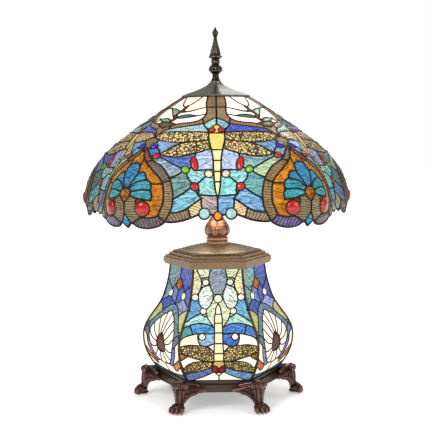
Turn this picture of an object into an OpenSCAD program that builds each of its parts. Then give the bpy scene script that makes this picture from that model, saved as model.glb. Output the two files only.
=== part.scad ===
// Table lamp with a five-lobed leaded glass shade on a six-sided glass and metal base.
// Front is -Y, up is +Z, the table is z = 0. All sizes in millimetres.

/* [Shade] */
// Height of the shade's top opening above the table
shade_top_z = 467; // [440:1:480]
// Height of the shade's lowest point above the table
shade_low_z = 281; // [270:1:300]
// Mean radius of the shade at its lower edge
shade_low_r = 199; // [180:1:215]
// Radius of the shade's top opening
shade_top_r = 52.5; // [48:0.5:60]
// Thickness of the glass
glass_t = 3; // [2:0.5:4]
// How far the five corners stand out at mid height, as a share of the radius
lobe_mid = 0.105; // [0:0.005:0.12]
// How far the five corners stand out at the lower edge, as a share of the radius
lobe_low = 0.055; // [0:0.005:0.08]
// Half width of the lead rib at each corner of the shade
rib_half = 1.6; // [1:0.1:2.5]

/* [Base] */
// Corner radius of the six-sided base ring
ring_rc = 99.5; // [96:0.5:104]
// Height of the base ring's underside above the table
ring_z = 25; // [22:1:30]
// Top of the glass body of the base
body_top_z = 209; // [200:1:215]
// Half width of the metal strip on each corner of the glass body
came_half = 2.5; // [1.5:0.5:4]
// Corner radius of the metal cover
cover_rc = 85; // [80:1:90]

/* [Middle] */
// Radius of the threaded pipe
pipe_r = 5; // [4.5:0.1:5.5]
// Height of the pipe's top end
pipe_top_z = 486; // [480:1:490]
// Radius of the stud that carries the finial
stud_r = 3; // [2.5:0.1:3]
// Upward tilt of the two shade bulbs in degrees
bulb_tilt = 12; // [5:1:18]

/* [Finial] */
// Height of the finial's top
finial_top_z = 575.6; // [565:0.2:580]

/* [Hidden] */
body_z = ring_z + 17;
seat_z = 459;
cap_z = shade_top_z;
cap_top_z = 489;
edge_fix = shade_low_z - 281;
NF = 24;
NV = 16;
metal = [0.42, 0.27, 0.17];
dark = [0.23, 0.2, 0.17];
lead = [0.2, 0.18, 0.16];
brass = [0.72, 0.56, 0.3];
panel_a = [0.55, 0.68, 0.72];
panel_b = [0.86, 0.84, 0.74];

// cubic curve through four control points
function bez(p, t) = let (u = 1 - t)
  u * u * u * p[0] + 3 * u * u * t * p[1] + 3 * u * t * t * p[2] + t * t * t * p[3];
function dbez(p, t) = let (u = 1 - t)
  3 * u * u * (p[1] - p[0]) + 6 * u * t * (p[2] - p[1]) + 3 * t * t * (p[3] - p[2]);

// ---------- six-sided glass body of the base ----------
ogee_a = [[95, body_z], [108, 55], [118.5, 72], [118.5, 95]];
ogee_b = [[118.5, 95], [118.5, 118], [97, 134], [87, 155]];
ogee_c = [[87, 155], [81, 171], [75.5, 190], [74.5, body_top_z]];
ogee = concat(
  [for (i = [0:7]) bez(ogee_a, i / 8)],
  [for (i = [0:7]) bez(ogee_b, i / 8)],
  [for (i = [0:6]) bez(ogee_c, i / 6)]);
// same outline moved in or out along the radius
function ogee_in(d, k) = [for (i = [0:len(ogee) - 1]) [ogee[i][0] * k - d, ogee[i][1]]];
function flip(l) = [for (i = [len(l) - 1:-1:0]) l[i]];

module hex(r, z, h) {
  translate([0, 0, z]) linear_extrude(h) circle(r = r, $fn = 6);
}

module base_ring() color(metal) difference() {
  union() {
    hex(ring_rc, ring_z, 11);
    hex(ring_rc - 3.5, ring_z + 11, 3);
    hex(ring_rc - 1.5, ring_z + 14, 3);
  }
  hex(86, ring_z - 1, 19);
  translate([0, 70, ring_z + 8]) rotate([-90, 0, 0]) cylinder(r = 5.5, h = 30, $fn = 48);
  for (k = [0:5]) rotate([0, 0, 60 * k]) translate([80, 0, ring_z + 5.5])
    rotate([0, 90, 0]) rotate([0, 0, 35]) cylinder(r = 2, h = 30, $fn = 32);
}

module base_plate() color(dark) difference() {
  hex(86, 27, 2);
  translate([0, 0, 26]) cylinder(r = pipe_r, h = 4, $fn = 48);
  translate([0, 40, 26]) cylinder(r = 3.3, h = 4, $fn = 32);
  for (k = [0:5]) rotate([0, 0, 60 * k + 30]) translate([58, 0, 26])
    cylinder(r = 6, h = 4, $fn = 40);
  // notches round the screw heads and the cord inlet's nut
  for (k = [0:5]) rotate([0, 0, 60 * k]) translate([86, 0, 26]) cylinder(r = 9.5, h = 4, $fn = 40);
  translate([0, 77, 26]) cylinder(r = 8, h = 4, $fn = 40);
}

module cord_bushing() color([0.12, 0.11, 0.1]) difference() {
  union() {
    translate([0, 72.5, ring_z + 8]) rotate([-90, 0, 0]) cylinder(r = 5.5, h = 16, $fn = 48);
    translate([0, 86.17, ring_z + 8]) rotate([-90, 0, 0]) cylinder(r = 7, h = 2.6, $fn = 48);
  }
  translate([0, 72, ring_z + 8]) rotate([-90, 0, 0]) cylinder(r = 3.5, h = 20, $fn = 48);
}

// one cast paw foot, drawn for the corner on +X
leg = [[92, 21], [104, 21.5], [109, 23], [114, 21], [117.5, 14], [119, 6], [120, 0],
       [134, 0], [134.5, 8], [131, 14], [127, 19], [125.5, 27], [125.5, 36], [123, 43.5],
       [118, 46.5], [112, 46], [106, 42], [101, 36], [92, 36]];
module foot_shape() {
  difference() {
    union() {
      rotate([90, 0, 0]) translate([0, 0, -9]) linear_extrude(18) polygon(leg);
      for (y = [-10.2, -3.4, 3.4, 10.2]) {
        translate([130, y * 0.92, 6]) sphere(r = 6, $fn = 28);
        translate([121, y * 0.7, 7]) rotate([0, 84, 0]) cylinder(r = 6, h = 9, $fn = 28);
      }
      translate([119, 0, 37]) rotate([90, 0, 0]) translate([0, 0, -11]) cylinder(r = 6.5, h = 22, $fn = 36);
      for (s = [-1, 1]) wing(s);
    }
    translate([60, -50, -20]) cube([120, 100, 20]);
    hex(ring_rc, ring_z, 11);
    translate([80, 0, ring_z + 5.5]) rotate([0, 90, 0]) cylinder(r = 2, h = 30, $fn = 32);
  }
}
// leaf that lies against the ring beside the foot
leaf = [[0, 23], [8, 21.5], [17, 22.5], [25, 26], [31, 31], [33, 34.5], [28, 35.5], [20, 35.5],
        [10, 35.8], [0, 35.8]];
module wing(s) {
  translate([ring_rc, 0, 0]) rotate([0, 0, s * 30]) mirror([0, s > 0 ? 0 : 1, 0])
    rotate([90, 0, 90]) linear_extrude(5) polygon(leaf);
}
module foot(k) color(metal) rotate([0, 0, 60 * k]) foot_shape();

module foot_screws() color(brass) for (k = [0:5]) rotate([0, 0, 60 * k]) {
  translate([80, 0, ring_z + 5.5]) rotate([0, 90, 0]) cylinder(r = 2, h = 28, $fn = 32);
  translate([78, 0, ring_z + 5.5]) rotate([0, 90, 0]) cylinder(r = 3.6, h = 2.4, $fn = 32);
}

// glass panel seen from the front; the wedge keeps it clear of the corner strips
module panel(k) rotate([0, 0, 60 * k]) intersection() {
  rotate([90, 0, 90]) translate([0, 0, -70]) linear_extrude(140)
    polygon(concat([for (q = ogee) [-q[0] * cos(30), q[1]]],
                   flip([for (q = ogee) [-q[0] * cos(30) + glass_t, q[1]]])));
  translate([0, 0, 30]) linear_extrude(190)
    polygon([[0, -2 * came_half], [-86.6, -2 * came_half - 150], [86.6, -2 * came_half - 150]]);
}

module base_cames() color(lead) for (k = [0:5]) rotate([0, 0, 60 * k])
  rotate([90, 0, 0]) translate([0, 0, -came_half]) linear_extrude(2 * came_half)
    polygon(concat(ogee_in(-1.6, 1), flip(ogee_in(4.4, 1))));

module base_rim() color(metal) difference() {
  hex(69.5, 200, 9);
  hex(60, 199, 11);
}

module base_cover() color(metal) difference() {
  union() {
    hex(cover_rc - 2, body_top_z, 3);
    hex(cover_rc, body_top_z + 3, 8);
    hex(cover_rc - 3, body_top_z + 11, 3);
    hex(cover_rc - 9, body_top_z + 14, 4);
    hex(cover_rc - 15, body_top_z + 18, 3);
    rotate_extrude($fn = 72) polygon([[0, 229], [60, 229], [60, 230.6], [50, 233.4],
      [38, 236.4], [26, 239], [18, 240], [0, 240]]);
  }
  hex(60, body_top_z - 1, 4);
  hex(cover_rc - 5, body_top_z + 3, 9);
  hex(cover_rc - 14, body_top_z + 11, 6);
  rotate_extrude($fn = 72) polygon([[0, 224], [54, 224], [54, 228.5], [48, 231], [38, 233.8],
    [26, 236.4], [18, 237.4], [0, 237.4]]);
  translate([0, 0, 230]) cylinder(r = pipe_r, h = 12, $fn = 48);
}

module neck() color(metal) difference() {
  union() {
    rotate_extrude($fn = 72) polygon([[0, 240], [17.5, 240], [17.5, 243.5], [15.6, 244.3],
      [15.6, 245.2], [17.2, 246], [17.2, 249.2], [15.4, 250], [15.4, 251.4], [16.6, 252.2],
      [16.6, 253], [0, 253]]);
    intersection() {
      rotate_extrude($fn = 72) polygon([[0, 252.6], [17.2, 252.6], [19.4, 255], [20.4, 257.6],
        [20.6, 260], [19.8, 264], [17.6, 269], [15, 273], [12.8, 276], [12.8, 276.4], [0, 276.4]]);
      translate([0, 0, 252]) linear_extrude(26) union() {
        circle(r = 16, $fn = 72);
        for (k = [0:8]) rotate([0, 0, 40 * k]) translate([13.8, 0]) circle(r = 6.9, $fn = 48);
      }
    }
    rotate_extrude($fn = 72) polygon([[0, 276], [12.6, 276], [11.4, 278.4], [10.2, 280.4],
      [10, 282], [0, 282]]);
  }
  translate([0, 0, 239]) cylinder(r = pipe_r, h = 44, $fn = 48);
}

module lamp_pipe() color(brass) difference() {
  translate([0, 0, 18]) cylinder(r = pipe_r, h = pipe_top_z - 18, $fn = 48);
  translate([0, 0, 17]) cylinder(r = 3.3, h = 455, $fn = 40);
}

module nut(z) difference() {
  hex(9.8, z, 6);
  translate([0, 0, z - 1]) cylinder(r = pipe_r, h = 8, $fn = 48);
}
module pipe_nuts() color(brass) {
  nut(21);
  nut(29);
  nut(350);
  nut(450);
}

module stem_tube() color(brass) difference() {
  translate([0, 0, 282]) cylinder(r = 8, h = 36, $fn = 56);
  translate([0, 0, 281]) cylinder(r = pipe_r, h = 38, $fn = 48);
}

// frame of one shade bulb: its own +Z runs out along the lampholder, s is -1 front, 1 back
module along_bulb(s) translate([0, s * 15, 336]) rotate([-s * (90 - bulb_tilt), 0, 0]) children();

module cluster_body() color(brass) difference() {
  union() {
    translate([0, 0, 318]) cylinder(r = 19, h = 32, $fn = 72);
    for (s = [-1, 1]) along_bulb(s) cylinder(r = 9, h = 12, $fn = 48);
  }
  translate([0, 0, 317]) cylinder(r = pipe_r, h = 34, $fn = 48);
}

module socket(s) color(dark) along_bulb(s) difference() {
  union() {
    translate([0, 0, 12]) cylinder(r = 14, h = 8, $fn = 56);
    translate([0, 0, 20]) cylinder(r = 17, h = 34, $fn = 56);
  }
  translate([0, 0, 25]) cylinder(r = 13.4, h = 32, $fn = 56);
}
module bulb_cap(s) color(brass) along_bulb(s) {
  translate([0, 0, 28.5]) cylinder(r = 13.3, h = 27.5, $fn = 56);
  translate([0, 0, 26]) cylinder(r = 5, h = 2.5, $fn = 32);
}
module bulb_glass(s) color([1, 0.93, 0.8]) along_bulb(s) difference() {
  union() {
    translate([0, 0, 56]) cylinder(r1 = 13.3, r2 = 21.6, h = 31, $fn = 56);
    translate([0, 0, 104]) sphere(r = 27.5, $fn = 56);
  }
  union() {
    translate([0, 0, 55]) cylinder(r1 = 11.9, r2 = 20.3, h = 32, $fn = 56);
    translate([0, 0, 104]) sphere(r = 26.4, $fn = 56);
  }
}

module base_socket_stem() color(brass) translate([0, 40, 29]) difference() {
  union() {
    cylinder(r = 11, h = 3, $fn = 48);
    cylinder(r = 5, h = 34, $fn = 40);
  }
  translate([0, 0, -1]) cylinder(r = 3.3, h = 36, $fn = 40);
}
module base_socket() color(dark) translate([0, 40, 63]) difference() {
  cylinder(r = 12.5, h = 40, $fn = 48);
  translate([0, 0, 10]) cylinder(r = 7.3, h = 31, $fn = 48);
}
module base_bulb_cap() color(brass) translate([0, 40, 63]) {
  translate([0, 0, 13]) cylinder(r = 7.2, h = 29, $fn = 48);
  translate([0, 0, 11]) cylinder(r = 3, h = 2, $fn = 32);
}
candle = [[7.2, 105], [10, 110], [15, 119], [17.2, 128], [16.6, 138], [13, 149], [7, 159],
          [2.5, 165], [0, 166]];
module base_bulb_glass() color([1, 0.93, 0.8]) translate([0, 40, 0]) difference() {
  rotate_extrude($fn = 48) polygon(concat([[0, 105]], candle));
  rotate_extrude($fn = 48) polygon([[0, 104], [6, 104], [6, 105.6], [9, 111], [13.8, 119.6],
    [16, 128], [15.4, 137.6], [12, 148], [6.4, 157.4], [0, 164]]);
}

module seat_disc() color(brass) difference() {
  translate([0, 0, seat_z - 3]) cylinder(r = 24, h = 3, $fn = 64);
  translate([0, 0, seat_z - 4]) cylinder(r = pipe_r, h = 5, $fn = 48);
}
module finial_stud() color(brass) translate([0, 0, pipe_top_z]) cylinder(r = stud_r, h = 44, $fn = 40);

// ---------- shade ----------
prof = [[shade_top_r, shade_top_z], [173, 398], [212, 335.5], [shade_low_r, 281]];
function stand_out(z) = let (s = (z - 281) / 186)
  lobe_low * (1 - s) * (1 - 2 * s) + lobe_mid * 4 * s * (1 - s) - 0.02 * s * (2 * s - 1);
function lobed(r, th, z) = r * (1 + stand_out(z) * cos(5 * (th - 36)));
// height of the lower edge at th degrees from a face's middle
function low_z(th) = let (a = abs(th)) edge_fix + (
  a < 7 ? 298 :
  a < 20.5 ? 298 + 4 * sin(180 * (a - 7) / 24) - 9.4 * pow((a - 7) / 13.5, 1.4) :
  a < 33.5 ? 292.6 - 11.4 * pow(sin(180 * (a - 20.5) / 13), 0.7) - 1.4 * (a - 20.5) / 13 :
  291.2 - 3.6 * (a - 33.5));
// curve parameter where the profile reaches height z, by halving
function t_for(z, lo = 0, hi = 1.03, n = 14) = n == 0 ? (lo + hi) / 2 :
  let (m = (lo + hi) / 2) bez(prof, m)[1] > z ? t_for(z, m, hi, n - 1) : t_for(z, lo, m, n - 1);
// point of the wall: u across the face from -1 to 1, v down it, d into the glass
function wall(u, v, d) = let (
  t = v * t_for(low_z(u * 36)),
  p = bez(prof, t), g = dbez(prof, t), l = norm(g),
  r = lobed(p[0], u * 36, p[1]) - d * abs(g[1]) / l,
  z = p[1] - d * g[0] / l * (g[0] > 0 ? 1 : 0),
  th = u * (36 - asin(rib_half / r)))
  [r * sin(th), -r * cos(th), z];
cols = [for (i = [0:NF]) let (s = i / NF * 2 - 1) sign(s) * (1 - pow(1 - abs(s), 1.25))];
outer = [for (j = [0:NV]) for (i = [0:NF]) wall(cols[i], j / NV, 0)];
inner = [for (j = [0:NV]) for (i = [0:NF]) wall(cols[i], j / NV, glass_t)];
W = NF + 1;
M = W * (NV + 1);
skin_o = [for (j = [0:NV - 1]) for (i = [0:NF - 1]) let (a = j * W + i)
  each [[a, a + 1, a + W + 1], [a, a + W + 1, a + W]]];
skin_i = [for (f = skin_o) [f[0] + M, f[2] + M, f[1] + M]];
sides = concat(
  [for (i = [0:NF - 1]) each [[i, M + i, M + i + 1], [i, M + i + 1, i + 1]]],
  [for (i = [0:NF - 1]) let (a = NV * W + i) each [[a, M + a + 1, M + a], [a, a + 1, M + a + 1]]],
  [for (j = [0:NV - 1]) let (a = j * W) each [[a, M + a + W, M + a], [a, a + W, M + a + W]]],
  [for (j = [0:NV - 1]) let (a = j * W + NF) each [[a, M + a, M + a + W], [a, M + a + W, a + W]]]);
module sector(k, c) color(c) rotate([0, 0, 72 * k])
  polyhedron(points = concat(outer, inner), faces = concat(skin_o, skin_i, sides));

// point of a corner rib's outline, d out from the glass
function rib_at(j, d) = let (
  t = t_for(282.4) * j / 14, p = bez(prof, t), g = dbez(prof, t), l = norm(g))
  [lobed(p[0], 36, p[1]) - d * g[1] / l, p[1] + d * max(g[0], 0) / l];
module shade_ribs() color(lead) for (k = [0:4]) rotate([0, 0, 72 * k - 54])
  rotate([90, 0, 0]) translate([0, 0, -rib_half]) linear_extrude(2 * rib_half) difference() {
    polygon(concat([for (j = [0:14]) rib_at(j, 1.3)], [for (j = [14:-1:0]) rib_at(j, -4.3)]));
    translate([40, shade_top_z]) square([40, 10]);
  }

// cabochon: th and z on the shade, r its radius, h its height above the glass
module dome(th, z, r, h) {
  p = bez(prof, t_for(z));
  g = dbez(prof, t_for(z));
  tilt = atan2(max(g[0], 0), -g[1]);
  R = (r * r + h * h) / (2 * h);
  rotate([0, 0, th]) translate([0, -lobed(p[0], th, z), z]) rotate([90 - tilt, 0, 0])
    translate([0, 0, -1.2]) intersection() {
      translate([0, 0, h - R]) sphere(r = R, $fn = 40);
      cylinder(r = r + 1, h = h + 1, $fn = 32);
    }
}
module jewels(k) color([0.72, 0.1, 0.05]) rotate([0, 0, 72 * k]) for (s = [-1, 1]) {
  dome(s * 29, 381.5, 5.6, 4.4);
  dome(s * 13.6, 362.6, 5.8, 4.4);
  dome(s * 4.2, 356, 5.6, 4.2);
  dome(s * 9.7, 339.4, 6.6, 5);
  dome(s * 29, 312, 11, 7);
}

// cap with five rounded ridges, one of them at the front
cap_side = [[54, cap_z], [54, cap_z + 2.2], [44, cap_z + 6], [33, cap_z + 9.6], [24, cap_z + 13.2],
            [16.6, cap_z + 17], [12.4, cap_z + 19.6], [10.6, cap_top_z]];
module vase_cap() color(dark) difference() {
  intersection() {
    rotate_extrude($fn = 72) polygon(concat([[0, cap_z]], [for (q = cap_side) [q[0] * 0.985, q[1]]],
      [[0, cap_top_z]]));
    intersection_for(k = [0:4]) rotate([0, 0, 72 * k + 36]) rotate([90, 0, 90])
      translate([0, 0, -70]) linear_extrude(140)
        polygon(concat([[70, cap_z]], [for (q = cap_side) [-q[0] * 0.88, q[1]]], [[70, cap_top_z]]));
  }
  rotate_extrude($fn = 64) polygon([[0, cap_z - 1], [39, cap_z - 1], [39, cap_z + 3], [28, cap_z + 7],
    [18, cap_z + 11.6], [8, cap_z + 17], [5.6, cap_z + 18], [5.6, pipe_top_z + 0.4],
    [0, pipe_top_z + 0.4]]);
  translate([0, 0, cap_z]) cylinder(r = stud_r + 0.5, h = 30, $fn = 40);
}

module shade_spider() color(brass) difference() {
  union() {
    rotate_extrude($fn = 72) polygon([[38, seat_z], [46, seat_z], [48.6, seat_z + 4],
      [48.6, cap_z], [38, cap_z]]);
    translate([0, 0, seat_z]) cylinder(r = 14, h = 5, $fn = 56);
    for (k = [0:4]) rotate([0, 0, 72 * k]) translate([10, -3.5, seat_z]) cube([30, 7, 3]);
  }
  translate([0, 0, seat_z - 1]) cylinder(r = pipe_r + 0.06, h = 8, $fn = 48);
}

module finial_washer() color(dark) difference() {
  translate([0, 0, cap_top_z]) cylinder(r = 8.7, h = 1.6, $fn = 56);
  translate([0, 0, cap_top_z - 1]) cylinder(r = stud_r + 0.05, h = 4, $fn = 40);
}
fin = [[8, 490.6], [6.2, 492.4], [5.2, 494.6], [4.5, 498], [5.2, 502.4], [8.6, 506], [10.2, 508.6],
       [10.2, 512], [8.2, 514.6], [5.5, 517], [5.3, 519], [6.3, 522], [9.3, 525.6], [10.2, 529.6],
       [9.6, 532.6], [7.1, 536], [6.3, 541], [4.7, 545.6], [3, 550.6], [2.4, 555], [3.2, 559.6],
       [4.7, 564.2], [4, 567.4], [2.2, 570.4], [0, finial_top_z]];
module finial() color(dark) difference() {
  rotate_extrude($fn = 56) polygon(concat([[0, 490.6]], fin));
  translate([0, 0, 489]) cylinder(r = stud_r + 0.05, h = 42, $fn = 40);
}

base_ring();
base_plate();
cord_bushing();
foot(0);  // foot_0
foot(1);  // foot_1
foot(2);  // foot_2
foot(3);  // foot_3
foot(4);  // foot_4
foot(5);  // foot_5
foot_screws();
color(panel_a) panel(0);  // base_panel_0
color(panel_b) panel(1);  // base_panel_1
color(panel_a) panel(2);  // base_panel_2
color(panel_b) panel(3);  // base_panel_3
color(panel_a) panel(4);  // base_panel_4
color(panel_b) panel(5);  // base_panel_5
base_cames();
base_rim();
base_cover();
neck();
lamp_pipe();
pipe_nuts();
stem_tube();
cluster_body();
socket(-1);  // socket_front
socket(1);  // socket_back
base_socket_stem();
base_socket();
seat_disc();
finial_stud();
vase_cap();
shade_spider();
sector(0, [0.6, 0.7, 0.75]);  // shade_sector_0
sector(1, [0.6, 0.7, 0.75]);  // shade_sector_1
sector(2, [0.6, 0.7, 0.75]);  // shade_sector_2
sector(3, [0.6, 0.7, 0.75]);  // shade_sector_3
sector(4, [0.6, 0.7, 0.75]);  // shade_sector_4
shade_ribs();
jewels(0);  // shade_jewels_0
jewels(1);  // shade_jewels_1
jewels(2);  // shade_jewels_2
jewels(3);  // shade_jewels_3
jewels(4);  // shade_jewels_4
bulb_cap(-1);  // bulb_front_cap
bulb_glass(-1);  // bulb_front_glass
bulb_cap(1);  // bulb_back_cap
bulb_glass(1);  // bulb_back_glass
base_bulb_cap();
base_bulb_glass();
finial_washer();
finial();
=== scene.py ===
"""A leaded glass table lamp: dragonfly shade on a lit six-sided base with paw feet.

Everything is worked out in millimetres in the frame's axes (Z up, the front is -Y)
and turned into metres when a mesh is made.  The glass is drawn as lead lines on an
unrolled wall; the areas the lines enclose become the glass pieces.
"""
import math
import random

import bmesh
import bpy
import numpy as np
from mathutils import Matrix, Vector, kdtree
from mathutils.geometry import delaunay_2d_cdt


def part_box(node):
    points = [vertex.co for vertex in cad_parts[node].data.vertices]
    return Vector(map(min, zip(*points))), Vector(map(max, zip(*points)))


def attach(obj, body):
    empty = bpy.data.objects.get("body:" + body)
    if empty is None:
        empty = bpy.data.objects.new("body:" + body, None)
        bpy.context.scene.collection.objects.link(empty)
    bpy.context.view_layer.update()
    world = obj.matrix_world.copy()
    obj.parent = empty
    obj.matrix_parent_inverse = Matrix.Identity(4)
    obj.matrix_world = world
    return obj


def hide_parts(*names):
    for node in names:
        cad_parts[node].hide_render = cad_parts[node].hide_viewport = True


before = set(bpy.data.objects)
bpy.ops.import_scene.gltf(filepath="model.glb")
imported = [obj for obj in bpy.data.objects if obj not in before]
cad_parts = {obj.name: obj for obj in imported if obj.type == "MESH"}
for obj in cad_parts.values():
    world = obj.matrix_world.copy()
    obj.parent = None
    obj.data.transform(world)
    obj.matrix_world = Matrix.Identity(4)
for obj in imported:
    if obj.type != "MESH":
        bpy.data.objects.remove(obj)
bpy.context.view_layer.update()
MM = 0.001
rng = random.Random(7)


# ---------------------------------------------------------------- small helpers
def smooth_curve(points, step=2.5, closed=False):
    """Points along a Catmull-Rom curve through the given 2-D or 3-D points."""
    p = np.array(points, float)
    if len(p) == 2 and not closed:
        n = max(1, int(np.linalg.norm(p[1] - p[0]) / step))
        return p[0] + (p[1] - p[0]) * np.linspace(0, 1, n + 1)[:, None]
    if closed:
        q = np.vstack([p[-1], p, p[0], p[1]])
    else:
        q = np.vstack([2 * p[0] - p[1], p, 2 * p[-1] - p[-2]])
    out = []
    for i in range(1, len(q) - 2):
        a, b, c, d = q[i - 1:i + 3]
        n = max(2, int(np.linalg.norm(c - b) / step))
        t = np.arange(n)[:, None] / n
        out.append(0.5 * ((2 * b) + (c - a) * t + (2 * a - 5 * b + 4 * c - d) * t ** 2
                          + (3 * b - a - 3 * c + d) * t ** 3))
    out = np.vstack(out)
    return out if closed else np.vstack([out, p[-1]])


def bezier(p, t):
    """Points at t along a cubic Bezier curve."""
    p = np.array(p, float)
    t = np.asarray(t, float)[..., None]
    u = 1 - t
    return u ** 3 * p[0] + 3 * u * u * t * p[1] + 3 * u * t * t * p[2] + t ** 3 * p[3]


def linear(rgb):
    """0-255 screen colour to scene-linear."""
    out = []
    for c in rgb:
        c = min(max(c / 255, 0), 1)
        out.append(c / 12.92 if c <= 0.04045 else ((c + 0.055) / 1.055) ** 2.4)
    return tuple(out)


def unit(v):
    """Vectors brought to length 1."""
    v = np.asarray(v, float)
    n = np.linalg.norm(v, axis=-1, keepdims=True)
    return v / np.where(n < 1e-12, 1, n)


SCALARS = ("streak", "speckle", "ridge", "glow")                   # what a mesh may store at its points
COLOURS = ("tint", "veil")


class Builder:
    """Collects vertices in mm, faces and per-vertex attributes, and makes one mesh."""

    def __init__(self):
        self.verts, self.faces, self.smooth = [], [], []
        self.attrs = {}
        self.count = 0

    def add(self, verts, faces, smooth=True, **attrs):
        verts = np.asarray(verts, float)
        n = len(verts)
        self.verts.append(verts)
        self.faces += [[i + self.count for i in f] for f in faces]
        self.smooth += list(smooth) if hasattr(smooth, "__len__") else [smooth] * len(faces)
        for name, value in attrs.items():
            value = np.asarray(value, float)
            if value.ndim < 2 and name not in SCALARS:
                value = np.tile(value, (n, 1))
            elif name in SCALARS:
                value = np.full(n, float(value)) if value.ndim == 0 else value
            self.attrs.setdefault(name, []).append(value)
        self.count += n

    def mesh(self, name):
        me = bpy.data.meshes.new(name)
        me.from_pydata((np.vstack(self.verts) * MM).tolist(), [], self.faces)
        me.polygons.foreach_set("use_smooth", self.smooth)
        for key, parts in self.attrs.items():
            if key in SCALARS:
                at = me.attributes.new(key, "FLOAT", "POINT")
                at.data.foreach_set("value", np.concatenate(parts))
            elif key in COLOURS:
                at = me.attributes.new(key, "FLOAT_COLOR", "POINT")
                rgb = np.vstack(parts)
                at.data.foreach_set("color", np.hstack([rgb, np.ones((len(rgb), 1))]).ravel())
            else:
                at = me.attributes.new(key, "FLOAT_VECTOR", "POINT")
                at.data.foreach_set("vector", np.vstack(parts).ravel())
        me.validate()
        me.update()
        return me

    def object(self, name, body, material, replaces, slot):
        place(name, self.mesh(name), body, material, replaces)


def place(name, mesh, body, material, replaces):
    """Links a finished mesh as a piece that rides on a body."""
    ob = bpy.data.objects.new(name, mesh)
    bpy.context.scene.collection.objects.link(ob)
    mesh.materials.append(material)
    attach(ob, body)
    if replaces:
        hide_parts(*replaces)


def tube(path, sides, normals, half_wide, half_deep, closed=False):
    """Closed bar of oval section along a path that lies in a surface with these normals."""
    path, normals = np.asarray(path, float), unit(normals)
    n = len(path)
    if closed:
        run = unit(np.roll(path, -1, 0) - np.roll(path, 1, 0))
    else:
        run = unit(np.gradient(path, axis=0))
    side = unit(np.cross(run, normals))
    up = unit(np.cross(side, run))
    ang = 2 * math.pi * (np.arange(sides) + 0.5) / sides
    across = side[:, None] * (half_wide * np.cos(ang))[None, :, None]
    through = up[:, None] * (half_deep * np.sin(ang))[None, :, None]
    verts = (path[:, None] + across + through).reshape(-1, 3)
    faces = []
    for i in range(n if closed else n - 1):
        j = (i + 1) % n
        for k in range(sides):
            l = (k + 1) % sides
            faces.append([i * sides + k, j * sides + k, j * sides + l, i * sides + l])
    if not closed:
        faces.append(list(range(sides)))
        faces.append([(n - 1) * sides + k for k in reversed(range(sides))])
    return verts, faces


def skin(rows):
    """Faces between rings of vertex numbers that follow each other; a ring of one vertex is a tip."""
    faces = []
    steps = max(len(row) for row in rows)
    for p, q in zip(rows, rows[1:]):
        for k in range(steps):
            l = (k + 1) % steps
            quad = [p[k % len(p)], p[l % len(p)], q[l % len(q)], q[k % len(q)]]
            face = [v for i, v in enumerate(quad) if v not in quad[:i]]
            if len(face) > 2:
                faces.append(face)
    return faces


def lathe(profile, steps, ripple):
    """Closed solid turned about Z from (radius, height) points; ripple(angle, radius, height) scales it."""
    verts, rows = [], []
    for r, z in np.array(profile, float):
        angles = 2 * math.pi * np.arange(steps) / steps if r > 1e-6 else [0.0]
        rows.append(range(len(verts), len(verts) + len(angles)))
        for a in angles:
            s = ripple(a, r, z)
            verts.append((r * s * math.cos(a), r * s * math.sin(a), z))
    return np.array(verts), skin(rows)


def dome(p, e1, e2, n, rings, steps):
    """Closed solid round the normal n from (half size along e1, along e2, depth) rings; size 0 is a tip."""
    verts, rows = [], []
    for rx, ry, depth in rings:
        angles = 2 * math.pi * np.arange(steps) / steps if rx > 0 else [0.0]
        rows.append(range(len(verts), len(verts) + len(angles)))
        for u in angles:
            verts.append(p + e1 * (rx * math.cos(u)) + e2 * (ry * math.sin(u)) + n * depth)
    return np.array(verts), skin(rows)


# ---------------------------------------------------------------- leading and glass
class Wall:
    """A wall drawn flat.  point(x, y) gives its place in mm for flat coordinates in mm."""

    def __init__(self, point):
        self.point = point

    def frame_at(self, xy):
        """Place, outward normal and the two surface directions at flat points."""
        xy = np.asarray(xy, float)
        e = 0.2                                 # half the step that slopes are measured over
        p = self.point(xy)
        px = (self.point(xy + [e, 0]) - self.point(xy - [e, 0])) / (2 * e)
        py = (self.point(xy + [0, e]) - self.point(xy - [0, e])) / (2 * e)
        n = unit(np.cross(px, py))
        return p, n, px, py

    def ring(self, x, y, rx, ry, steps=28):
        """Flat outline of what is an oval of these radii on the wall itself."""
        _, n, px, py = self.frame_at([[x, y]])
        px, py = px[0], py[0]
        e1 = unit(px)
        e2 = unit(py - e1 * np.dot(py, e1))
        t = 2 * math.pi * np.arange(steps) / steps
        want = (rx * np.cos(t))[:, None] * e1 + (ry * np.sin(t))[:, None] * e2
        flat = want @ np.linalg.pinv(np.stack([px, py], 1)).T
        return flat + [x, y]


# Past an end's reach, how far off lines are looked for, and how far a moved end crosses the line it meets.
SEARCH, OVERSHOOT = 8, 0.12


def snap_ends(lines, reach):
    """Moves each open line's ends onto the nearest other line, so that areas close."""
    segs, owner = [], []
    for k, (pts, closed) in enumerate(lines):
        q = np.vstack([pts, pts[:1]]) if closed else pts
        segs.append(np.hstack([q[:-1], q[1:]]))
        owner += [k] * (len(q) - 1)
    segs, owner = np.vstack(segs), np.array(owner)
    a, d = segs[:, :2], segs[:, 2:] - segs[:, :2]
    dd = np.maximum((d * d).sum(1), 1e-12)
    out = []
    for k, (pts, closed) in enumerate(lines):
        if closed:
            out.append((pts, True))
            continue
        pts = pts.copy()
        for end in (0, -1):
            e = pts[end]
            near = (np.abs(a - e).max(1) < reach + SEARCH) & (owner != k)
            if not near.any():
                continue
            an, dn = a[near], d[near]
            t = np.clip(((e - an) * dn).sum(1) / dd[near], 0, 1)
            foot = an + dn * t[:, None]
            far = np.linalg.norm(foot - e, axis=1)
            i = far.argmin()
            if 1e-6 < far[i] < reach:
                inner = pts[1] if end == 0 else pts[-2]
                over = unit(foot[i] - inner) * OVERSHOOT
                pts[end] = foot[i] + over
        out.append((pts, False))
    return out


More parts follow.
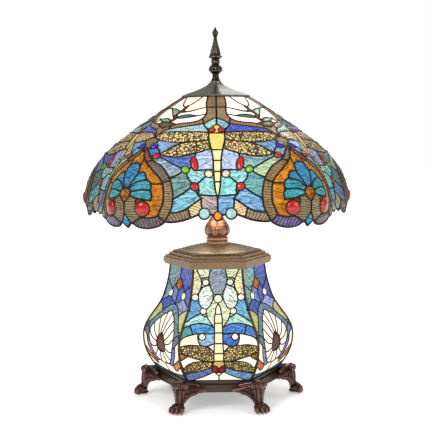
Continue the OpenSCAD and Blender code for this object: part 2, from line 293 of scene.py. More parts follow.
def areas(lines, grid, clear):
    """Fills the flat sheet with triangles that follow the lines, and groups them into the areas between
    lines.  Points inside are a grid's width apart and at least `clear` away from the lines."""
    verts, edges = [], []
    for pts, closed in lines:
        n0 = len(verts)
        verts += [tuple(p) for p in pts]
        n = len(pts)
        edges += [(n0 + i, n0 + (i + 1) % n) for i in range(n if closed else n - 1)]
    tree = kdtree.KDTree(len(verts))
    for i, v in enumerate(verts):
        tree.insert((v[0], v[1], 0), i)
    tree.balance()
    lo, hi = np.min(verts, 0), np.max(verts, 0)
    for j, y in enumerate(np.arange(lo[1], hi[1], grid * 0.87)):
        for x in np.arange(lo[0] + (j % 2) * grid / 2, hi[0], grid):
            if tree.find((x, y, 0))[2] > clear:
                verts.append((x, y))
    v, e, f, _, oe, _ = delaunay_2d_cdt([Vector(p) for p in verts], edges, [], 0, 1e-5)
    wall = {tuple(sorted(k)) for k, o in zip(e, oe) if o}
    beside = {}
    for i, tri in enumerate(f):
        for k in range(3):
            beside.setdefault(tuple(sorted((tri[k], tri[(k + 1) % 3]))), []).append(i)
    group = [-1] * len(f)
    count = 0
    for start in range(len(f)):
        if group[start] >= 0:
            continue
        stack = [start]
        group[start] = count
        while stack:
            tri = f[stack.pop()]
            for k in range(3):
                key = tuple(sorted((tri[k], tri[(k + 1) % 3])))
                if key in wall:
                    continue
                for o in beside[key]:
                    if group[o] < 0:
                        group[o] = count
                        stack.append(o)
        count += 1
    return np.array([tuple(p) for p in v]), f, np.array(group)


def in_triangle(xy, tris, p):
    """Index of the triangle that holds the point p, or None."""
    a, b, c = tris[:, 0], tris[:, 1], tris[:, 2]

    def cross(u, w):
        return u[:, 0] * w[:, 1] - u[:, 1] * w[:, 0]
    s1, s2, s3 = cross(b - a, p - a), cross(c - b, p - b), cross(a - c, p - c)
    hit = np.nonzero(((s1 >= 0) & (s2 >= 0) & (s3 >= 0)) | ((s1 <= 0) & (s2 <= 0) & (s3 <= 0)))[0]
    return int(hit[0]) if len(hit) else None


# Depths from the wall's outer face: the glass's two faces, the leads' middle and a jewel's back.
GLASS_OUT, GLASS_IN, LEAD_MIDDLE, JEWEL_BACK = -0.6, -3.4, -1.9, -2.4
GAP = 0.35                                                         # from a piece's rim to its lead line


def glass_solid(wall, flat, tris, style, out):
    """One glass piece: its area lifted onto the wall as a closed sheet about 3 mm thick."""
    used = sorted({v for t in tris for v in t})
    index = {v: i for i, v in enumerate(used)}
    p, n, px, py = wall.frame_at(flat[used])
    t2 = []
    for t in tris:
        a, b, c = (flat[i] for i in t)
        if (b[0] - a[0]) * (c[1] - a[1]) - (b[1] - a[1]) * (c[0] - a[0]) < 0:
            t = (t[0], t[2], t[1])
        t2.append([index[i] for i in t])
    half = {(t[k], t[(k + 1) % 3]): True for t in t2 for k in range(3)}
    rim = [(a, b) for a, b in half if (b, a) not in half]
    pull = np.zeros_like(p)
    for a, b in rim:
        inward = unit(np.cross((n[a] + n[b]) / 2, p[b] - p[a]))
        pull[a] += inward
        pull[b] += inward
    size = np.linalg.norm(pull, axis=1, keepdims=True)
    p = p + np.where(size > 0.3, pull / np.maximum(size, 0.3) * GAP, 0)
    m = len(used)
    verts = np.vstack([p + n * GLASS_OUT, p + n * GLASS_IN])
    faces = t2 + [[t[2] + m, t[1] + m, t[0] + m] for t in t2]
    smooth = [True] * len(faces)
    for a, b in rim:
        faces.append([b, a, a + m, b + m])
        smooth.append(False)
    xy = flat[used] - flat[used].mean(0)
    turn = style["turn"]
    if style["ridge"]:                          # ribbed glass runs its ribs across the piece
        lean = 2 * (xy[:, 0] * xy[:, 1]).mean()
        turn = 0.5 * math.atan2(lean, (xy[:, 0] ** 2 - xy[:, 1] ** 2).mean())
    gx = xy[:, 0] * math.cos(turn) + xy[:, 1] * math.sin(turn)
    gy = -xy[:, 0] * math.sin(turn) + xy[:, 1] * math.cos(turn)
    grain = np.stack([gx, gy, np.full(m, style["seed"] * 1000.0)], 1) * MM
    out.add(verts, faces, smooth, grain=np.vstack([grain, grain]), **stored(style))


def stored(style):
    """The part of a style that a mesh stores at its points."""
    return {key: style[key] for key in COLOURS + SCALARS}


# How each kind of sheet glass looks: strength of its streaks, how bright they are beside the glass, glow,
# width of the metal lace over it, depth of the ribs pressed into it.
KINDS = {
    "plain": (0.6, 0.75, 1.05, 0.0, 0.0),
    "ribbed": (0.5, 0.75, 1.15, 0.0, 1.0),
    "wispy": (1.0, 1.7, 1.05, 0.0, 0.0),
    "dense": (0.85, 0.45, 1.05, 0.0, 0.0),
    "white": (0.14, 0.88, 1.18, 0.0, 0.0),
    "wing": (0.25, 0.8, 1.02, 0.78, 0.0),
    "net": (0.3, 0.8, 1.25, 1.2, 0.0),
    "lace": (0.3, 0.8, 1.0, 0.3, 0.0),
}


def glass_style(kind, rgb):
    """Colours and grain of one piece of glass, a little different each time."""
    streak, shift, glow, speckle, ridge = KINDS[kind]
    base = np.array(linear(rgb))
    tint = base * rng.uniform(0.92, 1.08) * np.array([rng.uniform(0.96, 1.04) for _ in range(3)])
    veil = tint * shift + tint.mean() * 0.12 * (shift - 0.4)
    return dict(tint=np.clip(tint, 0, 1), veil=np.clip(veil, 0, 1), streak=streak, speckle=speckle,
                ridge=ridge, glow=glow * rng.uniform(0.95, 1.06), turn=rng.uniform(-0.7, 0.7),
                seed=rng.random())


def jewel_style(tint, veil, glow):
    """Colours and grain of one pressed jewel."""
    return dict(tint=tint, veil=veil, streak=0.5, speckle=0.0, ridge=0.0, glow=glow, seed=rng.random())


def cabochon(wall, x, y, rx, ry, high, out, style, rings=6):
    """A round pressed jewel: a dome outside and a shallower one inside."""
    p, n, px, _ = (v[0] for v in wall.frame_at([[x, y]]))
    e1 = unit(px)
    e2 = unit(np.cross(n, e1))
    inner = high * 0.45
    rise = [math.radians(90 * i / rings) for i in range(rings)]
    shape = [(0, 0, JEWEL_BACK - inner)]
    shape += [(rx * math.cos(a), ry * math.cos(a), JEWEL_BACK - inner * math.sin(a)) for a in rise[::-1]]
    shape += [(rx * math.cos(a), ry * math.cos(a), GLASS_OUT + high * math.sin(a)) for a in rise]
    shape += [(0, 0, GLASS_OUT + high)]
    verts, faces = dome(p, e1, e2, n, shape, 28)
    seeds = np.full(len(verts), style["seed"] * 1000)
    grain = np.stack([(verts - p) @ e1, (verts - p) @ e2, seeds], 1) * MM
    out.add(verts, faces, True, grain=grain, **stored(style))


# ---------------------------------------------------------------- the shade's wall
TOP_Z, LOW_Z = 467, 281
SHADE_PROFILE = [(52.5, TOP_Z), (173, 398), (212, 335.5), (199, LOW_Z)]   # Bezier through a shell's middle
SHADE_CURVE = bezier(SHADE_PROFILE, np.linspace(-0.01, 1.06, 400))[::-1]
SHADE_R, SHADE_Z = SHADE_CURVE[:, 0], SHADE_CURVE[:, 1]
SHADE_RUN = np.concatenate([[0], np.cumsum(np.linalg.norm(np.diff(SHADE_CURVE, axis=0), axis=1))])
SHADE_SCALE = 2.8                                                  # flat mm for each degree


def shade_lobe(z):
    """How far the wall swells (shell) or sinks (dragonfly) at a height, as a share of its radius."""
    s = (z - LOW_Z) / (TOP_Z - LOW_Z)
    return 0.055 * (1 - s) * (1 - 2 * s) + 0.105 * 4 * s * (1 - s) - 0.02 * s * (2 * s - 1)


def shade_point(xy):
    """Place of a flat point: the profile turned about Z, with five shells."""
    th = np.radians(xy[..., 0] / SHADE_SCALE)
    z = np.interp(xy[..., 1], SHADE_RUN, SHADE_Z)
    r = np.interp(z, SHADE_Z, SHADE_R) * (1 + shade_lobe(z) * np.cos(5 * (th - math.radians(36))))
    return np.stack([r * np.sin(th), -r * np.cos(th), z], -1)


def shade_flat(points):
    """(degrees, height) to flat mm."""
    p = np.asarray(points, float)
    return np.stack([p[..., 0] * SHADE_SCALE, np.interp(p[..., 1], SHADE_Z, SHADE_RUN)], -1)


SHADE = Wall(shade_point)

# Lead lines of half a dragonfly panel: degrees from its middle, height.
PANEL = [
    [(0, 467), (0, 435), (0, 424.8)], [(0, 322.5), (0, 305)], [(36, 317.5), (36, 303.5)],
    [(0, 467), (12, 467), (24, 467), (36, 467)],
    # hood and collar
    [(0, 450), (10.2, 450)],
    [(13.5, 467), (11.7, 456), (9.7, 448), (9.2, 440), (11.5, 433.5), (15.5, 429.5), (20.8, 427.5),
     (25.2, 427), (29.8, 424.5), (36, 420)],
    [(0, 435), (5.7, 430.5), (9.6, 426), (17, 423.5), (24, 421), (30.7, 418.6), (33.6, 414.5), (36, 407)],
    [(11.3, 434), (9.4, 426.3)], [(31.6, 424), (31.2, 418.5)],
    # head and body
    [(9.8, 426), (7.4, 420), (5.2, 418)], [(7, 419.5), (5.6, 415.5), (5.2, 412.5)],
    [(0, 424.8), (1.8, 423.3), (2.9, 421.2)],
    [(5.2, 412.5), (4.9, 404), (3.8, 395), (3.1, 389), (2.4, 382), (2.05, 375), (1.75, 360), (1.4, 346),
     (0.9, 334), (0, 322.5)], [(0, 412.5), (5.2, 412.5)], [(0, 389), (3.1, 389)],
    [(0, 374.5), (2.05, 374.5)], [(0, 359.5), (1.75, 359.5)], [(0, 345.5), (1.4, 345.5)],
    # wings
    [(5.3, 413.2), (10, 414), (15.6, 414.4), (25.3, 414.6), (31.5, 413.3), (34.9, 410.5)],
    [(4.9, 403), (13.8, 400.6), (19.8, 399.4), (24, 399.9), (29.3, 401.8), (33, 404.6), (35.7, 408.3)],
    [(16.5, 400), (20, 397.6), (23.6, 392.2), (27.2, 384.2)],
    [(3.4, 391.5), (8.2, 387), (13.6, 383), (19.9, 380), (23.8, 381.2), (27.2, 384.2)],
    [(31.6, 403.5), (32.2, 399)], [(30.3, 393.2), (28.2, 389.3), (27.2, 384.2)],
    [(29.8, 381), (31.4, 382.2)], [(34, 391.8), (34.9, 389)],
    # the shell's border band
    [(36, 393.5), (33.4, 388.5), (31.5, 383), (28.9, 376), (24, 367), (20.3, 353), (18.5, 338),
     (17.9, 326), (18.2, 311), (20.6, 293)],
    [(36, 390), (33.3, 379), (27.7, 364), (24, 353), (22.2, 344), (21.3, 331), (21.4, 316), (22.8, 302),
     (21, 293.2)], [(28.7, 375.6), (31.6, 374.2)], [(22.3, 345.5), (19.5, 349)],
    [(33.2, 378.5), (33.1, 366.5)], [(22.2, 344), (26.6, 344)],
    # the fan
    [(36, 372.4), (34.2, 371), (33, 366.5), (32.6, 358.8)],
    [(32.6, 358.8), (30.9, 360.6), (29.2, 356), (28.4, 350)],
    [(28.4, 350), (26.9, 347), (26, 341), (26.2, 335.6)], [(26.2, 335.6), (25.4, 330), (25.6, 322)],
    [(35, 338.5), (33.7, 349), (32.6, 358.8)], [(34.6, 337.6), (32.2, 346.5), (28.4, 350)],
    [(33.9, 333), (30, 336.3), (26.2, 335.6)], [(34.2, 329), (31, 325), (28.3, 323), (25.6, 321.8)],
    [(27.6, 323.2), (27.6, 320.5)],
    # diamond, drop and lobe under it
    [(36, 339), (34.6, 337.3), (33.5, 331), (34.6, 324), (36, 317.5)], [(30.9, 325.2), (31.3, 316.5)],
    [(28.6, 300.6), (28.6, 297.6)], [(36, 303.5), (34.9, 297), (34.2, 291), (35.1, 286.5), (36, 283.6)],
    [(33.2, 289.7), (31.9, 293), (29.5, 298.3), (26.7, 298), (24, 299.4), (22.6, 302)],
    # lower edge
    [(34.2, 291), (33.2, 289.5), (32.7, 288.5)],
    [(32.7, 288.5), (31.6, 285.2), (29.6, 283.4), (27.2, 283), (23.9, 285.6), (21.8, 289.4), (20.7, 292.8)],
    [(20.7, 292.8), (18.5, 292), (14.3, 294), (10.9, 298), (7.9, 302.2)],
    [(6.9, 323.5), (9.7, 317.5), (12.2, 311), (15.2, 306.2), (18.4, 304.6)], [(12.2, 311), (11.1, 297.8)],
    [(8.4, 328.3), (6.9, 323.5)], [(6.9, 323.5), (7, 316), (6.5, 309.8)], [(3.4, 302), (1.4, 301)],
    # panes beside the body
    [(25.2, 379), (20, 370.5), (16.2, 364.3)], [(11.1, 380.5), (11.1, 385.2)],
    [(10, 361.3), (6.2, 361.8), (1.75, 361.8)], [(12.9, 363.4), (12.5, 365.2)],
    [(13.9, 357.9), (12.8, 350), (11.2, 344.5)], [(16.1, 359), (18, 354.5), (20.3, 351.6)],
    [(11.7, 337.8), (14.3, 331), (18, 322.6)], [(9.3, 333.8), (8.8, 330), (8.4, 328.3)],
    [(8.2, 337), (8.1, 333), (8.4, 328.3)], [(8.4, 328.3), (4.5, 327.4), (.5, 326.6)],
    [(5.9, 351.9), (7.3, 348), (8.6, 344.3)],
]
# Lines of the lily at the top of each shell: degrees from the shell's middle, height.
LILY = [
    [(1.2, 449.5), (7, 456), (11.5, 463), (13.7, 467.1)],
    [(3.4, 446.5), (8, 444), (16, 446.5), (26, 450.2)], [(3.2, 442.5), (11, 444), (18.6, 447.6)],
    [(6, 433.5), (16, 436), (26.8, 440)], [(4.2, 437.5), (12, 439.3), (20.5, 437.3)],
    [(1.2, 440), (3.4, 435.8)], [(7.4, 425.6), (2.5, 428), (-2, 429), (-9, 427.3)],
    [(-19, 467.1), (-10, 459), (-4, 453.5), (1.2, 451)], [(0.6, 444.5), (-6, 447.6), (-19, 450)],
    [(-19, 450), (-10, 445), (-4, 440), (-1.2, 437)], [(-1.2, 437), (.4, 441)], [(-1.2, 437), (1.6, 433.8)],
    [(-19, 450), (-26, 449.3)], [(-0.8, 432), (-6, 434.6), (-13, 432.6)], [(1.2, 431), (-0.8, 432)],
    [(-13, 432.6), (-14.8, 432.3)], [(-13, 432.6), (-8, 430), (-3, 429)], [(-19.3, 431.5), (-22.5, 429.7)],
]
LILY_LOOPS = [
    [(3, 453.5), (4.6, 450), (3.6, 444.5), (1.4, 440), (.2, 441), (1, 447)],
    [(4.4, 436), (3.5, 431.5), (1.3, 427.8), (.2, 428.7), (1.4, 433.5)],
]
# Round jewels: degrees, height, radius across, radius down, colour.
RED, BLUE, GREEN = (200, 20, 15), (30, 30, 220), (120, 200, 30)
WHITE, ORANGE, PALE, PINK = (255, 250, 236), (208, 138, 30), (250, 246, 232), (232, 214, 190)
CREAM, AQUA, AMBER, PEARL = (245, 235, 200), (160, 215, 215), (240, 150, 20), (250, 245, 230)
JEWELS = [
    (3.15, 417, 4.5, 4.5, RED), (32.3, 395, 6.0, 6.0, BLUE), (28.1, 381.3, 5.2, 5.2, RED),
    (11.1, 370.5, 5.0, 11.0, RED), (14.6, 362.6, 5.6, 5.6, GREEN), (4.1, 356.4, 5.6, 5.6, CREAM),
    (10.0, 339.5, 5.8, 5.8, RED), (28.5, 310.5, 10.3, 10.3, RED), (5.6, 303, 7.4, 7.4, AQUA),
]
MIDDLE_JEWEL = (0, 299.6, 5.2, 5.9, AMBER)
LILY_JEWEL = (-17, 431.8, 6.5, 4.6, PEARL)
# What fills each area: degrees, height, kind, colour on the viewer's left of the panel, and on the right
# where that differs.
PANES = [
    (5, 458, "ribbed", (146, 120, 88), (150, 124, 92)),
    (4.5, 443, "ribbed", (150, 132, 104), (156, 136, 110)), (20, 425, "ribbed", (152, 128, 98)),
    (33.5, 419, "ribbed", (152, 128, 98)), (5, 427, "wispy", (132, 178, 184), (112, 156, 190)),
    (0, 419, "plain", (235, 200, 90)), (18, 419, "wispy", (128, 172, 192), (56, 82, 186)),
    (18, 407, "wing", (238, 220, 160)), (14, 393, "wing", (238, 220, 160)),
    (0, 400, "lace", (250, 222, 130)), (0, 382, "white", (240, 225, 165)),
    (0, 367, "white", (243, 228, 172)), (0, 352, "white", (240, 225, 165)),
    (0, 338, "white", (243, 228, 172)), (27, 398, "wispy", (110, 150, 210), (90, 140, 190)),
    (30.3, 387.5, "wispy", (70, 96, 170), (100, 140, 150)), (36, 400, "ribbed", (140, 125, 85)),
    (6, 372, "wispy", (140, 160, 225)), (22, 365, "wispy", (110, 140, 170), (140, 170, 150)),
    (16, 345, "wispy", (84, 128, 136), (78, 140, 152)),
    (8.5, 353, "wispy", (120, 178, 196), (112, 184, 206)),
    (13, 320, "wispy", (100, 168, 196), (92, 144, 204)),
    (3.5, 318, "wispy", (140, 130, 140), (90, 150, 200)), (8.8, 331, "dense", (60, 110, 170)),
    (8.5, 311, "ribbed", (222, 206, 166)), (16, 299, "ribbed", (150, 135, 115)),
    (31.5, 379, "ribbed", (140, 88, 58), (125, 115, 110)),
    (25, 359, "ribbed", (118, 108, 106), (148, 124, 96)), (19.8, 325, "ribbed", (150, 130, 100)),
    (35, 381, "dense", ORANGE), (28.5, 361, "dense", ORANGE), (23.5, 322, "dense", ORANGE),
    (36, 360, "wispy", (40, 120, 170)), (31, 353, "wispy", (45, 130, 165)),
    (29, 341, "wispy", (40, 135, 165)), (29.5, 330, "wispy", (45, 140, 160)),
    (36, 330, "dense", (190, 120, 40)), (33, 305, "ribbed", (150, 140, 115)),
    (36, 391.5, "dense", (190, 110, 40)), (29.8, 321.5, "dense", (120, 85, 55)),
    (36, 292, "wispy", (50, 140, 220)), (27, 290, "ribbed", (120, 115, 125), (120, 110, 170)),
]
LILY_PANES = [
    (-10, 463, "white", WHITE), (15, 457, "white", WHITE), (16, 442, "white", WHITE),
    (14, 431, "white", WHITE), (-8, 453, "white", WHITE), (-12, 440, "white", WHITE),
    (9, 443.8, "dense", (60, 130, 140)), (10, 437.5, "dense", (70, 140, 140)),
    (2.5, 447, "dense", (170, 90, 40)), (2.4, 432, "dense", (200, 40, 30)),
    (-5, 444, "wispy", (110, 160, 140)), (-7, 432.3, "wispy", (110, 160, 140)),
    (0, 424, "dense", (120, 80, 50)), (0, 437, "dense", (110, 75, 50)),
    (2.9, 452.2, "dense", (150, 90, 45)), (0.95, 428.1, "dense", (150, 40, 30)),
    (-9, 429.2, "white", WHITE),
]
# Degrees round from the front: middles of the dragonfly panels and of the shells between them, each row
# a little longer than the whole way round, so that the panes at the back are closed too.
DRAGONFLIES = range(-216, 217, 72)
SHELLS = range(-180, 181, 72)


def flip_side(centre):
    """The lily leans toward the front, so it is mirrored on one side of the lamp."""
    return 1 if centre > 0 or centre <= -180 else -1


def shade_lines():
    """Every lead line round the whole shade, in flat mm, as (points, closed)."""
    lines = []
    for middle in DRAGONFLIES:
        for side in (1, -1):
            for half in PANEL:
                flat = shade_flat([(middle + side * a, z) for a, z in half])
                lines.append((smooth_curve(flat), False))
    for shell in SHELLS:
        s = flip_side(shell)
        for lily in LILY:
            flat = shade_flat([(shell - s * b, z) for b, z in lily])
            lines.append((smooth_curve(flat), False))
        for loop in LILY_LOOPS:
            flat = shade_flat([(shell - s * b, z) for b, z in loop])
            lines.append((smooth_curve(flat, 1.5, True), True))
    for a, z, rx, rz, _ in shade_jewels():
        x, y = shade_flat((a, z))
        lines.append((SHADE.ring(x, y, rx, rz), True))
    return lines


def shade_jewels():
    """Each jewel's place round the shade."""
    out = []
    for middle in DRAGONFLIES:
        out.append((middle, *MIDDLE_JEWEL[1:]))
        for side in (1, -1):
            out += [(middle + side * j[0], *j[1:]) for j in JEWELS]
    for shell in SHELLS:
        out.append((shell - flip_side(shell) * LILY_JEWEL[0], *LILY_JEWEL[1:]))
    return out


def shade_seeds():
    """(flat point, kind, colour) for every area of glass."""
    seeds = []
    for middle in DRAGONFLIES:
        for side in (1, -1):
            for a, z, kind, *rgb in PANES:
                seeds.append((shade_flat((middle + side * a, z)), kind, rgb[-1] if side > 0 else rgb[0]))
    for shell in SHELLS:
        for b, z, kind, rgb in LILY_PANES:
            seeds.append((shade_flat((shell - flip_side(shell) * b, z)), kind, rgb))
    return seeds


SLIVER = 4                                                         # square mm


def fill_wall(lines, seeds, grid, clear):
    """Areas of a flat drawing with what fills each: flat points and [(triangles, kind, colour, middle)].
    An area that no seed names, such as a jewel's or the outside, stays open, and so does a sliver."""
    flat, tris, group = areas(lines, grid, clear)
    corner = flat[np.array(tris)]
    fill = {}
    for p, kind, rgb in seeds:
        i = in_triangle(flat, corner, p)
        if i is not None:
            fill.setdefault(group[i], (kind, rgb))
    out = []
    size = np.abs(np.cross(corner[:, 1] - corner[:, 0], corner[:, 2] - corner[:, 0])) / 2
    for g in range(group.max() + 1):
        mine = np.nonzero(group == g)[0]
        if g not in fill or size[mine].sum() < SLIVER:
            continue
        middle = (corner[mine].mean(1) * size[mine, None]).sum(0) / size[mine].sum()
        out.append(([tris[i] for i in mine], *fill[g], middle))
    return flat, out


# ---------------------------------------------------------------- the base's wall
# Bezier curves of the corners' S-shape: radius, height.
OGEE = [[(95, 42), (108, 55), (118.5, 72), (118.5, 95)], [(118.5, 95), (118.5, 118), (97, 134), (87, 155)],
        [(87, 155), (81, 171), (75.5, 190), (74.5, 209)]]
BASE_LOW, BASE_TOP = OGEE[0][0][1], OGEE[-1][-1][1]
BASE_CURVE = np.vstack([bezier(part, np.linspace(0, 1, 60)[1 if k else 0:]) for k, part in enumerate(OGEE)])
BASE_R, BASE_Z = BASE_CURVE[:, 0], BASE_CURVE[:, 1]
FACE = math.cos(math.radians(30))                                  # a face's distance over its corner's
BASE_RUN = np.concatenate([[0], np.cumsum(np.hypot(np.diff(BASE_R) * FACE, np.diff(BASE_Z)))])


def corner_radius(z):
    """How far the base's corners are from the axis at a height."""
    return np.interp(z, BASE_Z, BASE_R)


def base_point(turn):
    """The wall of one base panel, turned round the axis by this many degrees."""
    c, s = math.cos(math.radians(turn)), math.sin(math.radians(turn))

    def point(xy):
        z = np.interp(xy[..., 1], BASE_RUN, BASE_Z)
        d = corner_radius(z) * FACE
        x, y = xy[..., 0], -d
        return np.stack([c * x - s * y, s * x + c * y, z], -1)
    return point


def base_flat(points):
    """(millimetres across, height) to flat mm."""
    p = np.asarray(points, float)
    return np.stack([p[..., 0], np.interp(p[..., 1], BASE_Z, BASE_RUN)], -1)


CORNER_INSET = 1.2                                                 # of the strips and panes at a corner
# Lines of half a base panel: millimetres from its middle, height.
EDGE_HEIGHTS = (BASE_LOW, 50, 60, 72, 84, 95, 104, 113, 122, 132, 142, 155, 170, 185, 198, BASE_TOP)
EDGE = [(corner_radius(z) / 2 - CORNER_INSET, z) for z in EDGE_HEIGHTS]
RIM = [EDGE, [(0, BASE_LOW), (EDGE[0][0], BASE_LOW)], [(0, BASE_TOP), (EDGE[-1][0], BASE_TOP)]]
FLY = [
    [(32.5, 209), (25.5, 194), (23.3, 195)], [(10.9, 209), (13.8, 196)], [(13.8, 196), (23.3, 195)],
    [(13.8, 196), (13, 187), (6.9, 172), (0, 171)], [(25.5, 194), (24.5, 185), (28.9, 173), (32.1, 171)],
    [(23.4, 181), (13, 185)], [(28.9, 173), (29.3, 161), (25.3, 153), (22.1, 151)],
    [(23.4, 181), (28.9, 173)], [(6.9, 172), (8.1, 163), (13.5, 153), (17.8, 150)],
    [(26.4, 144), (36.4, 140), (48.5, 132)], [(38.6, 163), (44.4, 163)],
    [(17.8, 145), (15.8, 138), (7.6, 126)], [(25, 142), (18.5, 139)],
    [(53.5, 122), (49.1, 126), (36.3, 130), (25, 131), (14.3, 129), (6.2, 125)],
    [(58.2, 104), (53.2, 111), (41.9, 115), (30.6, 117), (17.9, 117), (5.8, 117)], [(42, 129), (38.4, 116)],
    [(30.6, 117), (30.6, 109), (26.7, 101), (18, 99), (6.6, 103)],
    [(26.7, 101), (30.6, 100), (41.9, 101), (54.6, 99), (58.2, 97)], [(18, 99), (13.7, 97), (7, 90)],
    [(58.2, 96), (53.3, 89), (44.9, 84), (30.9, 79), (16.8, 75), (7.6, 76)], [(58.2, 90), (45.6, 84)],
    [(45.6, 84), (55.6, 77)], [(56.5, 75), (52.3, 65), (45.1, 71), (33.7, 75), (19.6, 75), (7.6, 74)],
    [(52.3, 65), (55.2, 62)], [(53.2, 57), (42.6, 57), (28.3, 59), (16.9, 63), (8.4, 66)],
    [(52.3, 53), (42.6, 57)], [(42, 42), (25.8, 48), (9.7, 56)],
    [(0, 157), (3.2, 152), (4.4, 144), (5.5, 138), (6, 118), (6.5, 99), (7.2, 85), (6.9, 76)],
    [(4.4, 143), (0, 143)], [(5.7, 131), (0, 131)], [(6, 118), (0, 118)], [(6.4, 103), (0, 103)],
    [(7.2, 88), (0, 88)], [(7, 76), (0, 76)],
    [(6.9, 76), (8.6, 70), (10.2, 63), (8.8, 58), (4.3, 56), (0, 57)], [(9.1, 69), (4.8, 68), (0, 63.5)],
    [(4.3, 56), (2.9, 53), (0, 51.8)], [(0, 63.5), (0, 57)], [(0, 51.8), (0, 42)],
]
FLY_JEWELS = [(18.3, 188.6, 4.7), (0, 164.5, 6.0), (34.5, 166.8, 4.9), (22.4, 147, 4.6), (24.3, 112.6, 4.8)]
FLY_PANES = [
    (35, 185, "wispy", (228, 206, 170), (214, 214, 160)),
    (22, 201, "wispy", (190, 214, 180), (180, 208, 170)), (0, 195, "wispy", (122, 140, 156)),
    (19, 167, "wispy", (206, 228, 236)), (38, 150, "wispy", (84, 144, 196), (84, 150, 190)),
    (12, 140, "wispy", (190, 180, 205), (180, 215, 170)),
    (35, 135, "wispy", (150, 210, 215), (150, 212, 196)),
    (12, 123, "wispy", (70, 140, 210), (62, 112, 190)), (48, 118, "wispy", (80, 140, 150), (64, 112, 186)),
    (45, 107, "white", (250, 240, 210), WHITE), (18, 107, "wispy", (130, 170, 220), (56, 96, 182)),
    (10, 98, "white", WHITE), (32, 90, "net", (250, 226, 150)), (35, 79, "white", WHITE),
    (32, 66, "net", (246, 220, 140)), (54, 84, "dense", (190, 125, 30), (150, 110, 40)),
    (55.5, 69, "white", WHITE), (47, 50, "wispy", (84, 108, 164), (90, 130, 175)), (20, 44, "white", WHITE),
    (0, 150, "white", (250, 238, 214)), (0, 137, "white", (246, 228, 200)),
    (0, 124, "white", (250, 232, 180)), (0, 110, "white", (250, 236, 200)),
    (0, 95, "white", (250, 234, 196)), (0, 81, "white", (255, 240, 190)), (0, 71, "lace", (226, 190, 120)),
    (5, 62, "dense", (150, 20, 16)), (0, 54.5, "white", (255, 226, 120)),
    (49.5, 55.7, "dense", (96, 120, 150)), (24, 188, "plain", (196, 210, 180)),
    (21, 140.8, "plain", (190, 180, 205), (180, 215, 170)),
]
BLOOM = [
    [(0, 209), (0, 192)], [(0, 192), (10.2, 181), (0, 171)], [(38.6, 186), (28, 178), (20, 172)],
    [(10.2, 181), (15.5, 177), (19, 171.5)], [(0, 171), (0, 151)], [(25, 160), (45.5, 149.6)],
    [(16, 158), (7, 154.5), (0, 151)],
    [(0, 151), (12, 148), (26.5, 137.5), (38, 126.5), (47.5, 118), (57.5, 105)],
    [(0, 142), (15, 134), (27, 124.5), (36.5, 114), (39.5, 103), (37.5, 92), (33, 81), (25, 70),
     (14, 63), (0, 61.5)], [(45.8, 148.8), (40, 147), (32, 143), (27, 137)], [(48, 117.5), (55.5, 118)],
    [(56.7, 116), (44, 110), (39.5, 103)], [(58.2, 106), (47, 97), (36.5, 89)],
    [(47, 97), (44, 82), (33, 68)], [(57.5, 79), (26, 62), (16, 63.5)], [(26, 62), (30, 54), (51, 64)],
    [(48, 51), (20, 47), (0, 46.5)], [(0, 61.5), (0, 42)],
    # petals
    [(8, 139), (5, 124), (3, 109)], [(21, 130), (13.5, 117), (7.2, 105)],
    [(32, 119), (22.5, 107), (11.6, 99)], [(38.5, 106), (28, 97), (13.4, 93)],
    [(36, 86), (26, 83.5), (13.6, 87)], [(26, 70.5), (20, 73.5), (10.6, 83)],
    [(10, 62.3), (7.2, 70), (4.4, 80.4)],
    [(0, 109), (7, 105), (12.5, 97), (14, 88), (9.5, 81.5), (0, 79.5)],
]
BLOOM_JEWELS = [(20.4, 165.2, 5.6)]
BLOOM_PANES = [
    (10, 200, "wispy", (104, 140, 150), (70, 88, 162)), (0, 181, "dense", (196, 112, 20)),
    (6, 165, "wispy", (92, 116, 180), (72, 90, 162)), (24, 150, "wispy", (58, 80, 160), (122, 140, 196)),
    (43, 140, "plain", (190, 192, 120), (206, 206, 150)),
    (22, 136, "wispy", (104, 112, 140), (92, 118, 140)),
    (50, 111.5, "wispy", (86, 100, 130), (80, 110, 140)), (53, 114, "plain", (220, 205, 140)),
    (54, 117, "plain", (190, 192, 120), (206, 206, 150)),
    (52, 92, "white", (240, 232, 200), (244, 236, 206)), (40, 84, "wispy", (116, 112, 176), (90, 92, 180)),
    (42, 64, "dense", (206, 122, 30)), (45, 56, "white", WHITE), (20, 44, "wispy", (60, 96, 130)),
    (0, 95, "dense", (84, 16, 4)), (3.5, 128, "white", WHITE), (10, 125, "white", WHITE),
    (18, 120, "white", WHITE), (27, 104, "white", WHITE), (26, 89, "white", WHITE),
    (22, 79, "white", WHITE), (13, 73, "white", WHITE), (4, 69, "white", WHITE),
]


def base_lines(wall, halves, jewels):
    """Lead lines of one base panel in flat mm."""
    lines = []
    for half in RIM + halves:
        for side in (1, -1):
            flat = base_flat([(side * w, z) for w, z in half])
            lines.append((smooth_curve(flat, 2.0), False))
    for w, z, r in mirrored(jewels):
        x, y = base_flat((w, z))
        lines.append((wall.ring(x, y, r, r, 24), True))
    return lines


def mirrored(jewels):
    """Both sides' jewels; one on the middle line is there once."""
    return [(side * w, z, r) for w, z, r in jewels for side in ((1, -1) if w else (1,))]


